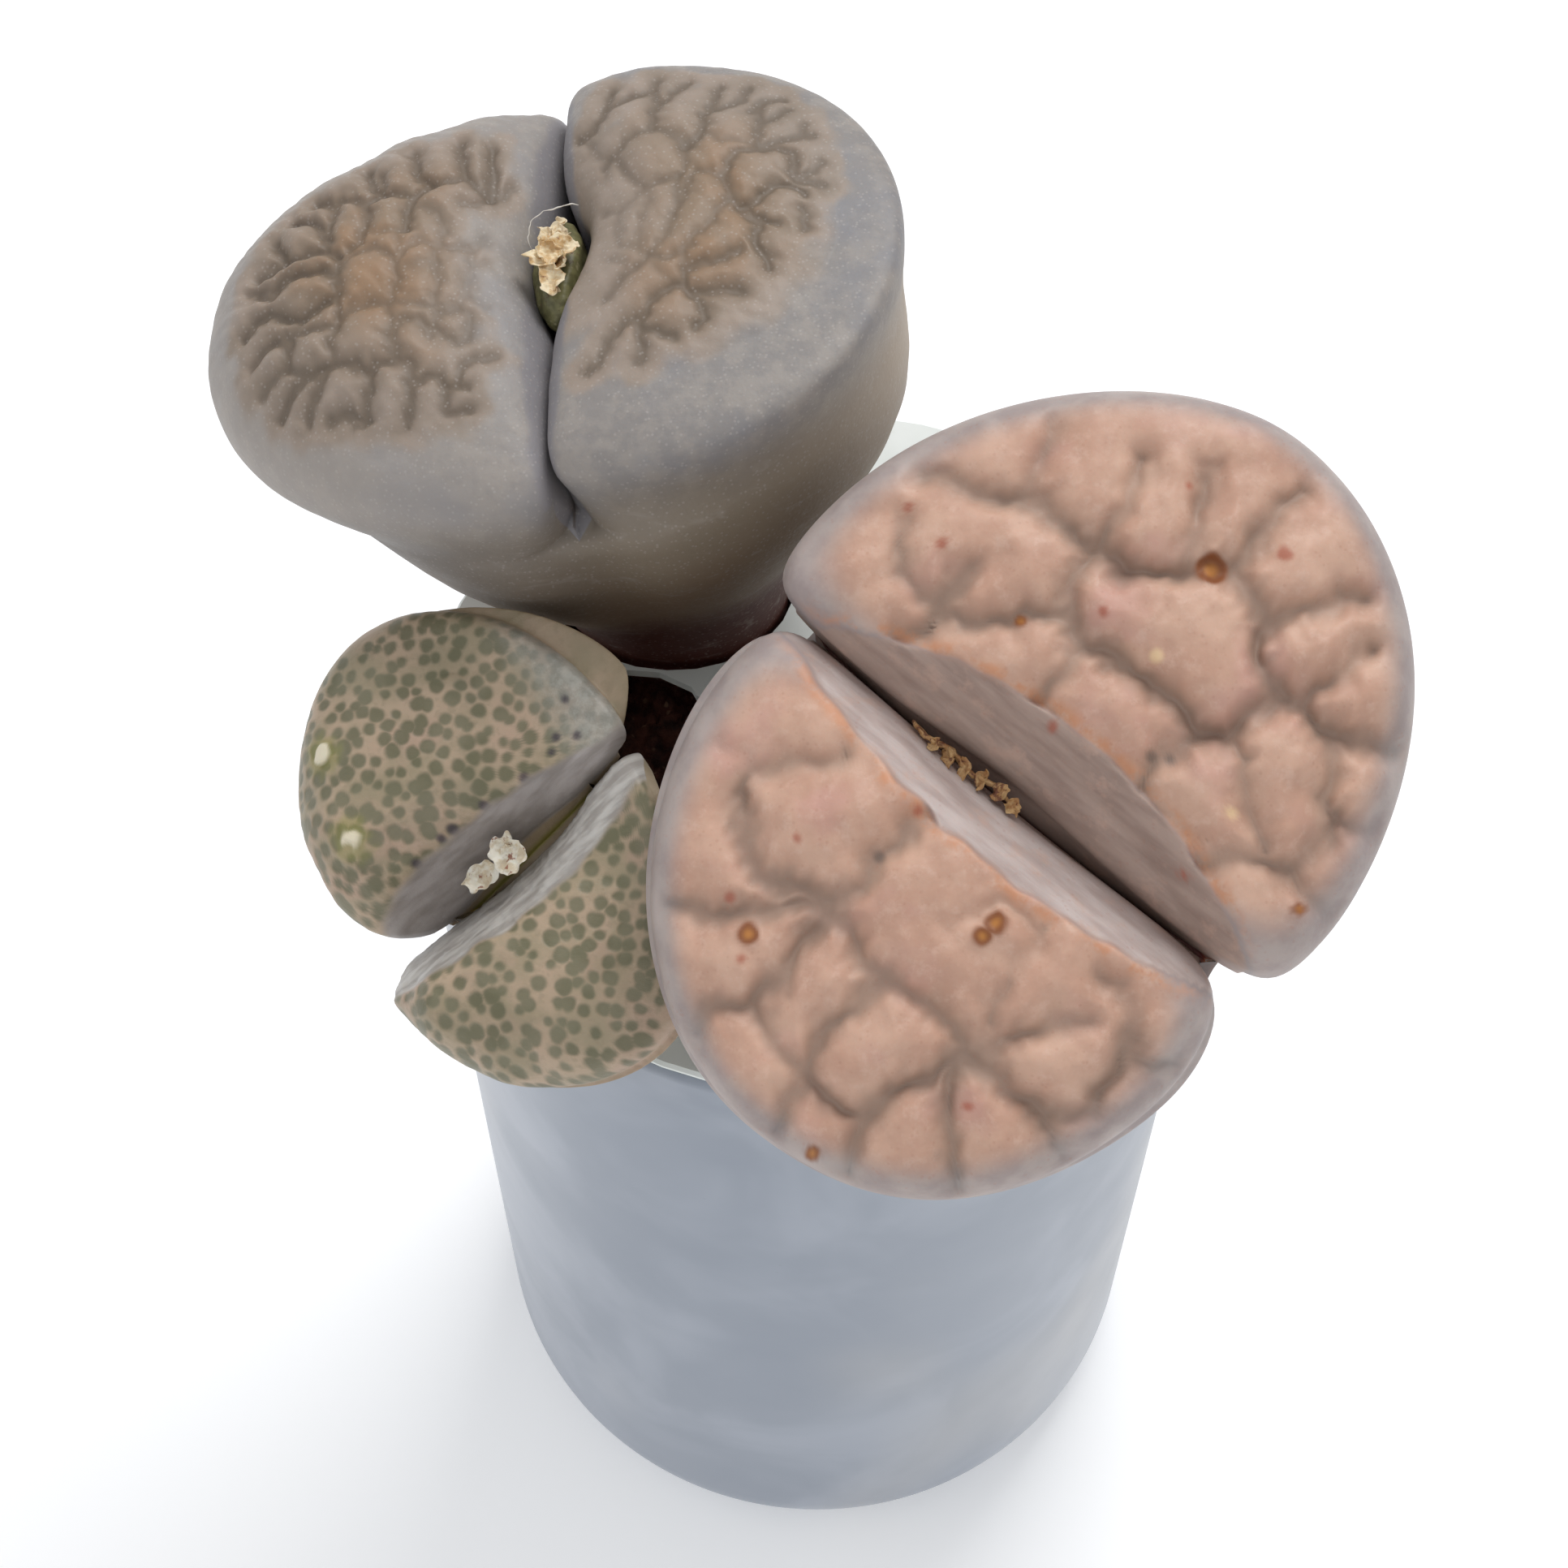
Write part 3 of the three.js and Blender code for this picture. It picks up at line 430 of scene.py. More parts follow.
backHead = {
    "crown": [-15.9, 13.2, 105.4], "normal": [-0.08, -0.02], "along": [0.16, -1, 0], "turn": 0.15,
    "spineFirst": 9, "neck": [-7.8, 10.3, 86], "tip": [-6.8, 10.6, 56], "length": 51,
    "halfLength": 16.4, "rim": 4.9, "round": 2.5, "corner": 7, "cleftEnds": 10, "cleftDepth": 9,
    "cleftOpen": 3,
    "pinch": 0.1, "pinchWide": 3, "neckAt": 27, "neckWide": 0.38, "neckLong": 0.43,
    "longTop": 0.975, "longMiddle": 0.9,
    "lobes": [
        {"half": 21.3, "top": 0.92, "middle": 0.71, "gap": 0.15, "open": 1.0, "openAt": -1, "openWide": 4.5,
         "egg": -0.05, "slide": -0.1, "rise": 0.3, "trim": 0.6, "trimLow": 0.4},
        {"half": 19.7, "top": 0.98, "middle": 0.91, "gap": 0.15, "open": 2.0, "openAt": -1, "openWide": 5,
         "egg": 0.19, "slide": -0.9, "rise": 1.4, "trimLow": -0.2, "hornLow": -0.4},
    ],
    "closeIn": 0.9, "closeWide": 2.6, "floorShift": 0, "keepOpen": 1.5,
    "rows": [112, 18, 26], "columns": [212, 92],
}
leftHead = {
    "crown": [-19.05, -15.7, 88.4], "normal": [-0.08, -0.35], "along": [0.822, 0.478, 0.307], "turn": -0.05,
    "spineFirst": 5, "neck": [-10.9, -7.2, 80.5], "tip": [-10.7, -7, 63], "length": 30,
    "halfLength": 10.3, "rim": 4, "round": 2.4, "corner": 5, "cleftEnds": 5, "cleftDepth": 6.2,
    "cleftOpen": 2,
    "pinch": 0.28, "pinchWide": 2.6, "neckAt": 13, "neckWide": 0.34, "neckLong": 0.44,
    "longTop": 1, "longMiddle": 0.7,
    "lobes": [
        {"half": 13.9, "top": 1.02, "middle": 0.65, "gap": 0.5, "open": 2.1, "openAt": 1, "openWide": 7,
         "egg": -0.03, "slide": 0.3, "rise": 0.5, "trim": 0.8, "trimLow": -1.7, "hornLow": -1.5},
        {"half": 15.5, "top": 0.985, "middle": 0.65, "gap": 0.4, "open": 2.2, "openWide": 7, "egg": -0.03,
         "slide": 0.3, "rise": 0.5, "trim": -0.4, "trimLow": -1.2, "narrow": 0.04, "horn": -0.9,
         "hornLow": -3.4, "bulge": 4.8},
    ],
    "closeIn": 1.0, "closeWide": 5.0, "floorShift": 0.0, "keepOpen": 0,
    "rows": [104, 20, 22], "columns": [200, 90],
}


# How wide the body is at a depth, as a share of the face: a shoulder, a neck, a thin root tip
def girth(head, top, middle, neck):
    tip, neckAt, length = shared["rootTip"], head["neckAt"], head["length"]
    return curveThrough([0, 0.15 * neckAt, 0.5 * neckAt, neckAt, (neckAt + length) / 2, length],
                        [1, top, middle, neck, (neck + tip) / 2, tip])


# Distance from a lobe's centre to the head's ellipse in one direction
def reachToEllipse(angle, centre, a, b):
    c, s = np.cos(angle), np.sin(angle)
    square = (c / a) ** 2 + (s / b) ** 2
    slant = 2 * centre * c / a**2
    return (-slant + np.sqrt(slant**2 - 4 * square * ((centre / a) ** 2 - 1))) / (2 * square)


# The same for a lobe that stops at the cleft: a soft least of the two distances
def reachToLobe(angle, centre, a, b, gap, corner):
    ellipse = reachToEllipse(angle, centre, a, b)
    cleft = (centre - gap) / np.maximum(1e-6, -np.cos(angle))
    least = np.minimum(ellipse, cleft)
    return least * ((least / ellipse) ** corner + (least / cleft) ** corner) ** (-1 / corner)


# Column directions: the outer side first, from one cleft end to the other, then the cleft side
def columnAngles(centre, b, outer, inner):
    end = np.arctan2(b, -centre)
    return np.concatenate([np.linspace(-end, end, outer + 1),
                           end + np.arange(1, inner) / inner * (2 * np.pi - 2 * end)])


# Rows of points of one lobe in the head's own frame: over the face, over the rounded rim,
# down the cleft and down the body to the root tip. Returns arrays of rows by columns.
def lobeRows(head, side, relief):
    lobe = {**plainLobe, **ofSide(head["lobes"], side)}
    nFace, nCleft, nBody = head["rows"]
    nOut, nIn = head["columns"]
    half, b0 = lobe["half"], head["halfLength"]
    centre0 = half * shared["centreAt"]
    wide = girth(head, lobe["top"], lobe["middle"], head["neckWide"])
    long = girth(head, head["longTop"], head["longMiddle"], head["neckLong"])

    # The lobe's own lean from the plain half ellipse, in full at the face and none at the cleft's floor
    def warp(x, y, share):
        near = np.clip(1 - x / half, 0, 1)
        opened = lobe["open"] * bell(y - lobe["openAt"], lobe["openWide"])
        late = smoothStep(0, b0, y) * share
        early = smoothStep(0, b0, -y) * share
        atCleft = bell(x, shared["hornWide"])
        pulled = (y - (lobe["trim"] - lobe["horn"] * atCleft) * late
                  + (lobe["trimLow"] - lobe["hornLow"] * atCleft) * early)
        slim = 1 - lobe["narrow"] * late - lobe["narrowLow"] * early
        return (x * slim + opened * near * near * share,
                pulled * (1 + lobe["egg"] * (x / half - 0.4) * share) + lobe["slide"] * share)

    def pinch(x, share):
        return 1 - head["pinch"] * share * bell(x, head["pinchWide"])

    # Below the rim the body swells past the +y end of a lobe, most of all halfway to the neck
    def swell(x, y, b, level):
        away = smoothStep(0, b, y) * smoothStep(0, shared["bulgeWide"], x)
        return lobe["bulge"] * away * math.sin(math.pi * min(1, level / head["neckAt"])) ** 2

    # Below their lips the two lobes lean together, soonest at the cleft's ends
    def leanIn(x, y, drop, part):
        middle = np.maximum(0, 1 - (y / b0) ** 2)
        kept = np.minimum(1, head["keepOpen"] * bell(y - lobe["openAt"], lobe["openWide"]))
        shut = head["closeIn"] * part * (1 - kept) * smoothStep(0.12, 0.5 + 0.5 * middle, drop)
        shift = head["floorShift"] * shut * middle * bell(x, shared["floorWide"])
        return x * (1 - shut * bell(x, head["closeWide"])) + side * shift

    # The body at a level: its half length, then x and y of its columns; a gap keeps it off the middle line
    def ring(level, gap=None):
        a, b, centre = half * wide(level), b0 * long(level), centre0 * wide(level)
        angle = columnAngles(centre, b, nOut, nIn)
        if gap is None:
            r = reachToEllipse(angle, centre, a, b)
        else:
            r = reachToLobe(angle, centre, a, b, gap, head["corner"])
        return b, centre + r * np.cos(angle), r * np.sin(angle)

    # Where the rows of the face lie: evenly along the way over the face and round the rim
    t = np.linspace(0, 1, shared["rimSteps"] + 1) * np.pi / 2
    reach, drop = np.sin(t) ** (2 / head["round"]), 1 - np.cos(t) ** (2 / head["round"])
    way = np.hypot(np.diff(reach) * half * shared["faceWay"], np.diff(drop) * head["rim"])
    run = np.concatenate([[0], np.cumsum(way)])
    share = np.linspace(0, 1, nFace + 1)[:, None] * run[-1]
    reach, drop = np.interp(share, run, reach), np.interp(share, run, drop)
    angle = columnAngles(centre0, b0, nOut, nIn)[None]
    r = reach * reachToLobe(angle, centre0, half, b0, lobe["gap"], head["corner"])
    flatX, flatY = centre0 + r * np.cos(angle), r * np.sin(angle)
    x, y = warp(flatX, flatY, 1.0)
    x = leanIn(x, y, drop, 1)
    bow = shared["bowAcross"] * flatX**2
    z = lobe["rise"] - bow - shared["bowAlong"] * flatY**2 - head["rim"] * drop
    raised, marks = relief(side * x, y, drop + 0 * x, reach + 0 * x, side)
    rows = [np.stack([side * x, y, z + raised], -1)]
    rim = z[-1] + raised[-1]
    columns = np.arange(angle.shape[1])
    inner = columns > nOut

    # Down the cleft: the inner columns end on the middle line of its floor
    fast, slow = shared["haste"]
    for k in range(1, nCleft + 1):
        share = k / nCleft
        level = share**2 * (fast - slow * share) * head["cleftEnds"]
        if k < nCleft:
            b, x, y = ring(level, lobe["gap"] * (1 - share))
        else:
            b, x, y = ring(level)
            x, y = np.where(inner, 0, x), np.where(inner, b * (1 - 2 * (columns - nOut) / nIn), y)
            x[[0, nOut]], y[[0, nOut]] = 0, [-b, b]
        y = y * pinch(x, share**3) + np.where(inner, 0, swell(x, y, b, level))
        floor = np.where(inner, -head["cleftDepth"], -head["cleftEnds"])
        x, y = warp(x, y, 1 - share ** head["cleftOpen"])
        x = leanIn(x, y, 1.0, np.where(inner, 1, 1 - share))
        rows.append(np.stack([side * x, y, rim + (floor - rim) * share], -1)[None])

    # Down the body: only the outer columns count, and the two lobes meet in its seams
    for m in range(1, nBody + 1):
        share = m / nBody
        level = head["cleftEnds"] + (head["length"] - head["cleftEnds"]) * share
        b, x, y = ring(level)
        x[[0, nOut]], y[[0, nOut]] = 0, [-b, b]
        y = y * pinch(x, 1 - smoothStep(0, shared["pinchEnd"], share)) + swell(x, y, b, level)
        rows.append(np.stack([np.where(inner, 0, side * x), y, 0 * x - level], -1)[None])

    # Marks beyond the face: how far down the cleft, how far down the body, and the rim itself
    below = np.zeros((nCleft + nBody, len(columns)))
    full = {key: np.concatenate([values, below]) for key, values in marks.items()}
    full["rim"] = np.concatenate([smoothStep(0.06, 0.5, drop) + below[:1], below + 1])
    down = np.concatenate([np.zeros(nFace + 1), np.arange(1, nCleft + 1) / nCleft, np.ones(nBody)])
    full["wall"] = np.where(inner, down[:, None], 0)
    full["down"] = np.clip(-np.concatenate(rows)[..., 2] / head["neckAt"], 0, 1.5)
    return np.concatenate(rows), full


# Places points of a head's own frame: z runs down a bent spine, a cubic curve from the crown to the root
def placeHead(head, local):
    nx, ny = head["normal"]
    normal = np.array([nx, ny, math.sqrt(1 - nx * nx - ny * ny)])
    along = np.array(head["along"], float)
    along = unit(along - normal * (along @ normal))
    along = along * math.cos(head["turn"]) - np.cross(normal, along) * math.sin(head["turn"])
    across = np.cross(along, normal)
    crown, neck, tip = (np.array(head[key], float) for key in ("crown", "neck", "tip"))
    first = crown - normal * head["spineFirst"]
    t = np.linspace(0, 1, shared["spineSteps"] + 1)[:, None]
    u = 1 - t
    curve = u**3 * crown + 3 * u * u * t * first + 3 * u * t * t * neck + t**3 * tip
    slope = 3 * u * u * (first - crown) + 6 * u * t * (neck - first) + 3 * t * t * (tip - neck)
    run = np.concatenate([[0], np.cumsum(np.linalg.norm(np.diff(curve, axis=0), axis=1))])
    depth = -local[..., 2] * run[-1] / head["length"]
    inside = np.clip(depth, 0, run[-1])

    def at(table):
        return np.stack([np.interp(inside, run, table[:, i]) for i in range(3)], -1)

    centre = at(curve) - np.minimum(depth, 0)[..., None] * normal
    up = -unit(at(slope))
    axis, cosine = np.cross(normal, up), (up @ normal)[..., None]

    def turned(v):
        return v * cosine + np.cross(axis, v) + axis * (axis @ v)[..., None] / (1 + cosine)

    return centre + local[..., :1] * turned(across) + local[..., 1:2] * turned(along)


# The whole head: both lobes share the points of the cleft's floor and of the body's two seams
def makeHead(name, head, relief):
    nFace, nCleft, nBody = head["rows"]
    nOut, nIn = head["columns"]
    join, count, columns = nFace + nCleft, nFace + nCleft + nBody + 1, nOut + nIn
    local, marks, quads, triangles = [], [], [], []
    common = np.zeros((count, columns), bool)
    common[join, nOut + 1:] = True
    common[join:, [0, nOut]] = True
    first = np.arange(count * columns).reshape(count, columns)
    tip = 2 * count * columns
    for side in (1, -1):
        rows, full = lobeRows(head, side, relief)
        local.append(rows.reshape(-1, 3))
        marks.append(full)
        ids = first.copy() if side > 0 else np.where(common, first, first + count * columns)
        ids[0] = ids[0, 0]
        right = np.roll(ids, -1, 1)
        body = slice(0, nOut)
        squares = [np.stack([i[:-1], i[1:], r[1:], r[:-1]], -1).reshape(-1, 4) for i, r in (
            (ids[1:join + 1], right[1:join + 1]), (ids[join:, body], right[join:, body]))]
        fan = np.stack([ids[0], ids[1], right[1]], -1)
        root = np.stack([ids[-1, body], 0 * ids[-1, body] + tip, right[-1, body]], -1)
        quads.append(np.concatenate(squares)[:, ::side])
        triangles.append(np.concatenate([fan, root])[:, ::side])
    local = np.concatenate(local + [[[0, 0, -head["length"]]]])
    joined = {key: np.concatenate([m[key].ravel() for m in marks] + [[1.0]]) for key in marks[0]}
    points = placeHead(head, local)
    quads, triangles = np.concatenate(quads), np.concatenate(triangles)
    used, flat = np.unique(np.concatenate([quads.ravel(), triangles.ravel()]), return_inverse=True)
    quads, triangles = flat[:quads.size].reshape(-1, 4), flat[quads.size:].reshape(-1, 3)
    joined = {key: v[used] for key, v in joined.items()}
    return meshPiece(name, points[used], quads, triangles, joined, local[used, :2])


# Distances from every point to every centre of a list
def distances(x, y, centres):
    centres = np.asarray(centres, float)
    return np.hypot(x[..., None] - centres[:, 0], y[..., None] - centres[:, 1])


# How near each point is to a net of lines: a soft largest, the fourth root of the sum of fourth powers, of
# exp(-(distance / wide)^2) times the line's strength, for each of the widths asked for. A line is its
# strength, then x and y of each of its points.
def nearLines(x, y, lines, *wides):
    found = [np.zeros(x.shape) for _ in wides]
    for line in lines:
        way = np.array(line[1:], float).reshape(-1, 2)
        least = np.full(x.shape, 1e9)
        for start, step in zip(way[:-1], np.diff(way, axis=0)):
            along = np.clip(((x - start[0]) * step[0] + (y - start[1]) * step[1]) / (step @ step), 0, 1)
            square = (x - start[0] - along * step[0]) ** 2 + (y - start[1] - along * step[1]) ** 2
            least = np.minimum(least, square)
        for total, wide in zip(found, wides):
            total += (line[0] * np.exp(-least / wide**2)) ** 4
    return [np.minimum(1.2, total ** 0.25) for total in found]


# Small spots: each has a place and a radius, and is full inside and soft at its edge
def spotMask(x, y, spots, soft=0.18):
    total = np.zeros(x.shape)
    for sx, sy, radius in spots:
        total = np.maximum(total, smoothStep(radius + soft, radius - soft, np.hypot(x - sx, y - sy)))
    return total


# The cleft's lips: their distance from the middle line is widest in the middle of the cleft's length.
# Inside them the face falls in proportion to the way past the lip, with a soft start. Returns the fall,
# how far inside a point is (0 or 1 with soft ends) and how near it is to the lip's line.
def lips(x, y, shapes, side):
    shape = ofSide(shapes, side)
    far = shape["ends"] + shape["more"] * np.maximum(0, 1 - ((y - shape["at"]) / shape["long"]) ** 2)
    past = far - np.abs(x) + 0.08 * waves(np.stack([x, y], -1), 2.5, 71)
    ramp = 0.5 * (past + np.sqrt(past**2 + 0.12))
    fall = np.minimum(shape["most"], shape["slope"] * ramp)
    return fall, smoothStep(-0.12, 0.3, past), bell(past + 0.3, 0.4)


# The pink head's face. Its lips have another shape on each lobe. Each line is a channel: how strong it is,
# then x and y of each of its points. Each spot is x, y and a radius.

pinkFace = {
    "lips": [{"ends": 1.5, "more": 2.6, "at": 1, "long": 15, "slope": 0.8, "most": 1.6},
             {"ends": 0.2, "more": 3.9, "at": 1, "long": 14.5, "slope": 0.8, "most": 1.6}],
    "lines": [
        [(0.8, 5.6, 15.3, 6.4, 14.2, 7.1, 13.1),
         (1, 6.1, 12.6, 7.3, 13.2, 9.2, 13, 10.4, 13.3, 11.2, 12.6, 12, 11.6, 12.2, 10, 12.1, 8.8,
          12.3, 7.6, 12.2, 6.8), (0.7, 6.4, 12.6, 5.2, 12, 4.7, 10.5, 4.9, 9.2),
         (0.8, 7, 10.3, 8.5, 9, 9.6, 8.1, 11, 7.7, 12.2, 7), (0.8, 13.1, 14, 12.9, 12.8, 12.2, 11.8),
         (1, 17.9, 10.5, 16.8, 9.4, 15.8, 8.4, 15, 7.6, 14, 7, 12.8, 6.8, 12.1, 6.9),
         (1, 12.8, 6.6, 14.4, 5.9, 16, 5, 17.6, 4.7, 19.4, 5.1, 20.8, 5.6),
         (0.9, 17.7, 4.7, 18.5, 3.6, 18.5, 2.4, 18.3, 1.3),
         (0.9, 12, 6.8, 11.5, 5.4, 11.4, 3.8, 11.8, 2, 12.1, 0.8, 11.8, -0.8, 11.2, -2.2, 11, -3.6),
         (0.9, 12.1, 1.1, 13.6, 0.9, 15, 0.5, 16.5, 0.5, 17.5, 0.9, 18.4, 1.3, 20, 1.25, 21.5, 1.4),
         (1, 11.1, -3.5, 13, -3.3, 14.6, -3.3, 16, -3.1, 17.2, -3.4, 18.2, -4.4, 19, -5.2, 20.2, -5),
         (0.8, 17, -3.2, 17.7, -2.2, 18.2, -1, 18.2, 0.2, 18.4, 1.2),
         (0.6, 4.8, 5.8, 6.4, 5.8, 8, 5.9, 9.4, 6.2, 10.6, 6.8, 12, 6.9),
         (0.5, 5.1, 5.6, 4.9, 4.4, 5.3, 3.2, 6.4, 2.6, 7.8, 2),
         (0.9, 4.4, -2.6, 6, -2.7, 7.4, -3.1, 9, -2.9, 10.4, -3.2, 11, -3.7),
         (1, 11, -3.8, 10.9, -5, 11.7, -6.2, 11.9, -7.4, 11.2, -8.8, 10.4, -9.8, 9.6, -10.8),
         (0.8, 4.4, -7.6, 5.2, -8.4, 6.4, -9.5, 7.6, -10.9, 8.8, -11.2, 9.8, -10.7),
         (1, 11.3, -4.3, 13, -5.8, 14.2, -6.9, 15.1, -8.2, 15.9, -9.9),
         (0.5, 7.4, -10.8, 7.4, -12, 8, -13)],
        [(0.8, -5.3, 16.2, -5.1, 15, -5.4, 13.5, -5.2, 12.3, -4.3, 11.2, -3.5, 10.3, -2.9, 9.3),
         (0.7, -5.6, 11.6, -6.3, 10.2, -7, 9, -8.2, 8.2, -8.4, 6.8),
         (0.8, -10, 15.2, -9.2, 14.2, -9, 13, -9.4, 12.2, -10.6, 12.1, -11.4, 11.2, -12.1, 10),
         (0.8, -9, 13.4, -7.8, 13.7, -6.5, 13.8, -5.3, 13.4),
         (1, -13.6, 13.8, -13.2, 12.4, -12.4, 11.4, -12.1, 10, -12.2, 8.8, -12, 7.4),
         (0.8, -12.3, 8.6, -13.6, 8.7, -15, 9.1, -16.8, 9.4),
         (1, -12, 7.4, -12.2, 6.2, -13.2, 5.2, -14.4, 4.5, -14.9, 3.2, -15.4, 1.8, -14.8, 0.4,
          -13.8, -0.4, -12.9, -1.3, -12.1, -2.6),
         (1, -12, 7.3, -10.6, 7.1, -9.4, 6.8, -8.4, 6.6, -8, 5.6, -8.2, 4, -8.3, 2.6, -8.1, 1,
          -8.1, -0.6, -7.9, -1.6, -8.1, -3), (0.9, -8.2, 6.1, -7.3, 5.2, -6, 5, -4.8, 4.9, -3.4, 5.1),
         (0.9, -12.1, -4.4, -11, -4.6, -9.6, -4.5, -8.6, -3.9, -8.1, -3),
         (0.9, -15.4, 1.5, -17, 1.6, -18.4, 1.3, -19.8, 1.5, -21, 1.6),
         (0.9, -14.6, 4.5, -15.5, 5.3, -16.6, 6, -17.8, 6.8, -18.8, 7.5),
         (0.8, -13.8, -0.6, -15.2, -0.8, -16.4, -1.3, -17.8, -2.1, -19, -2.8),
         (0.8, -12.1, -4.5, -13.4, -4.7, -14.8, -4.7, -16, -5, -17, -5.5),
         (1, -12.1, -2.6, -12, -4.2, -11.9, -6, -12, -8, -11.6, -9.5, -10.6, -11, -10.2, -12.5, -9.8, -14),
         (0.8, -12, -9, -13, -9.6, -14.2, -9.8, -15.6, -10.3),
         (0.9, -8.1, -3.9, -7.4, -5.2, -6.3, -5.6, -5.5, -6.6, -4.8, -7.6, -4.2, -8.6),
         (1, -7.2, -8.8, -6, -9.1, -5, -9, -4, -8.7, -3, -9.1, -2.2, -9.6),
         (0.8, -5, -9.2, -4.7, -10.4, -4.9, -11.6, -5.8, -12.6, -7, -13.2),
         (0.8, -8, -1.6, -7, -2, -5.8, -1.9, -4.6, -1.8, -3.6, -2.2),
         (0.5, -3.6, 8.6, -3.8, 6.8, -3.6, 5.2, -4.1, 3, -4.2, 1, -4, -0.8, -3.7, -2.2)],
    ],
    "wides": (2.2, 0.85, 0.3), "deeps": (0.7, 0.75, 0.28), "high": 0.6, "fade": (0.3, 0.75),
    "bends": ((0.16, 3.2, 11, 13), (0.06, 1.2, 12, 14)), "frays": (0.05, 1.3, 18, 19),
    "ringWide": 0.22, "ringHigh": 0.12, "scabHigh": 0.1, "heart": 0.4,
    "scabs": [(-14.8, 0.7, 0.85), (6.1, 3.7, 0.6), (7.1, 3.6, 0.55), (14.6, -5.8, 0.6), (-6.7, -5.2, 0.35),
              (21.2, 3.8, 0.4), (-4.2, 15.0, 0.4)],
    "redSpots": [(9.2, -6.9, 0.2), (13.75, -7.8, 0.3), (14.2, 8.4, 0.25), (-17.7, 3.1, 0.4),
                 (-7.3, -10.9, 0.3), (-17.5, -2.9, 0.2), (4.2, -3.1, 0.25), (15.8, -5.3, 0.2),
                 (-7.75, -13.6, 0.25), (-9.6, -2.1, 0.3), (-1.9, 9.4, 0.2), (-3.5, -0.5, 0.25)],
    "darkSpots": [(-5.4, 4.4, 0.3), (-5.9, 5.2, 0.25), (7.3, -3.1, 0.3)],
    "paleSpots": [(-9.5, 1.4, 0.35), (-5.7, 9.3, 0.3)],
}


# Height: the islands less the channels' basin, valley and crease, then the scabs' rings, then the lips
def pinkRelief(x, y, drop, reach, side):
    face = pinkFace
    place = np.stack([x, y], -1)
    bent = wander(x, y, *face["bends"])
    basin, valley, crease = nearLines(*bent, ofSide(face["lines"], side), *face["wides"])
    fade = 1 - smoothStep(*face["fade"], drop)
    crease = crease * smoothStep(-0.6, 0.9, waves(place, 4.5, 17))
    frayed = wander(x, y, face["frays"])
    ring = np.zeros(x.shape)
    for sx, sy, radius in face["scabs"]:
        ring = np.maximum(ring, bell(np.hypot(frayed[0] - sx, frayed[1] - sy) - radius, face["ringWide"]))
    sunk = sum(deep * near for deep, near in zip(face["deeps"], (basin, valley, crease)))
    height = (face["high"] + 0.1 * waves(place, 4, 15) + 0.03 * waves(place, 1.6, 16) - sunk) * fade
    scabs = spotMask(*frayed, face["scabs"], 0.16)
    hearts = [(sx, sy, face["heart"] * radius) for sx, sy, radius in face["scabs"]]
    fall, inside, line = lips(x, y, face["lips"], side)
    height = (height + face["scabHigh"] * scabs + face["ringHigh"] * ring) * (1 - inside) - fall
    marks = {
        # channel: how far into a channel; it carries the channels' greyer tone and their painted shade
        "channel": (0.5 * valley + 0.3 * basin + 0.2 * crease) * fade,
        "scab": scabs,
        "scabHeart": spotMask(*frayed, hearts, 0.2),
        "red": spotMask(*frayed, face["redSpots"]),
        "dark": spotMask(x, y, face["darkSpots"]),
        "pale": spotMask(x, y, face["paleSpots"]),
        "lip": line * smoothStep(16, 11, np.abs(y)),
        "edge": inside,
        "lower": inside * (side > 0),
    }
    return height, marks
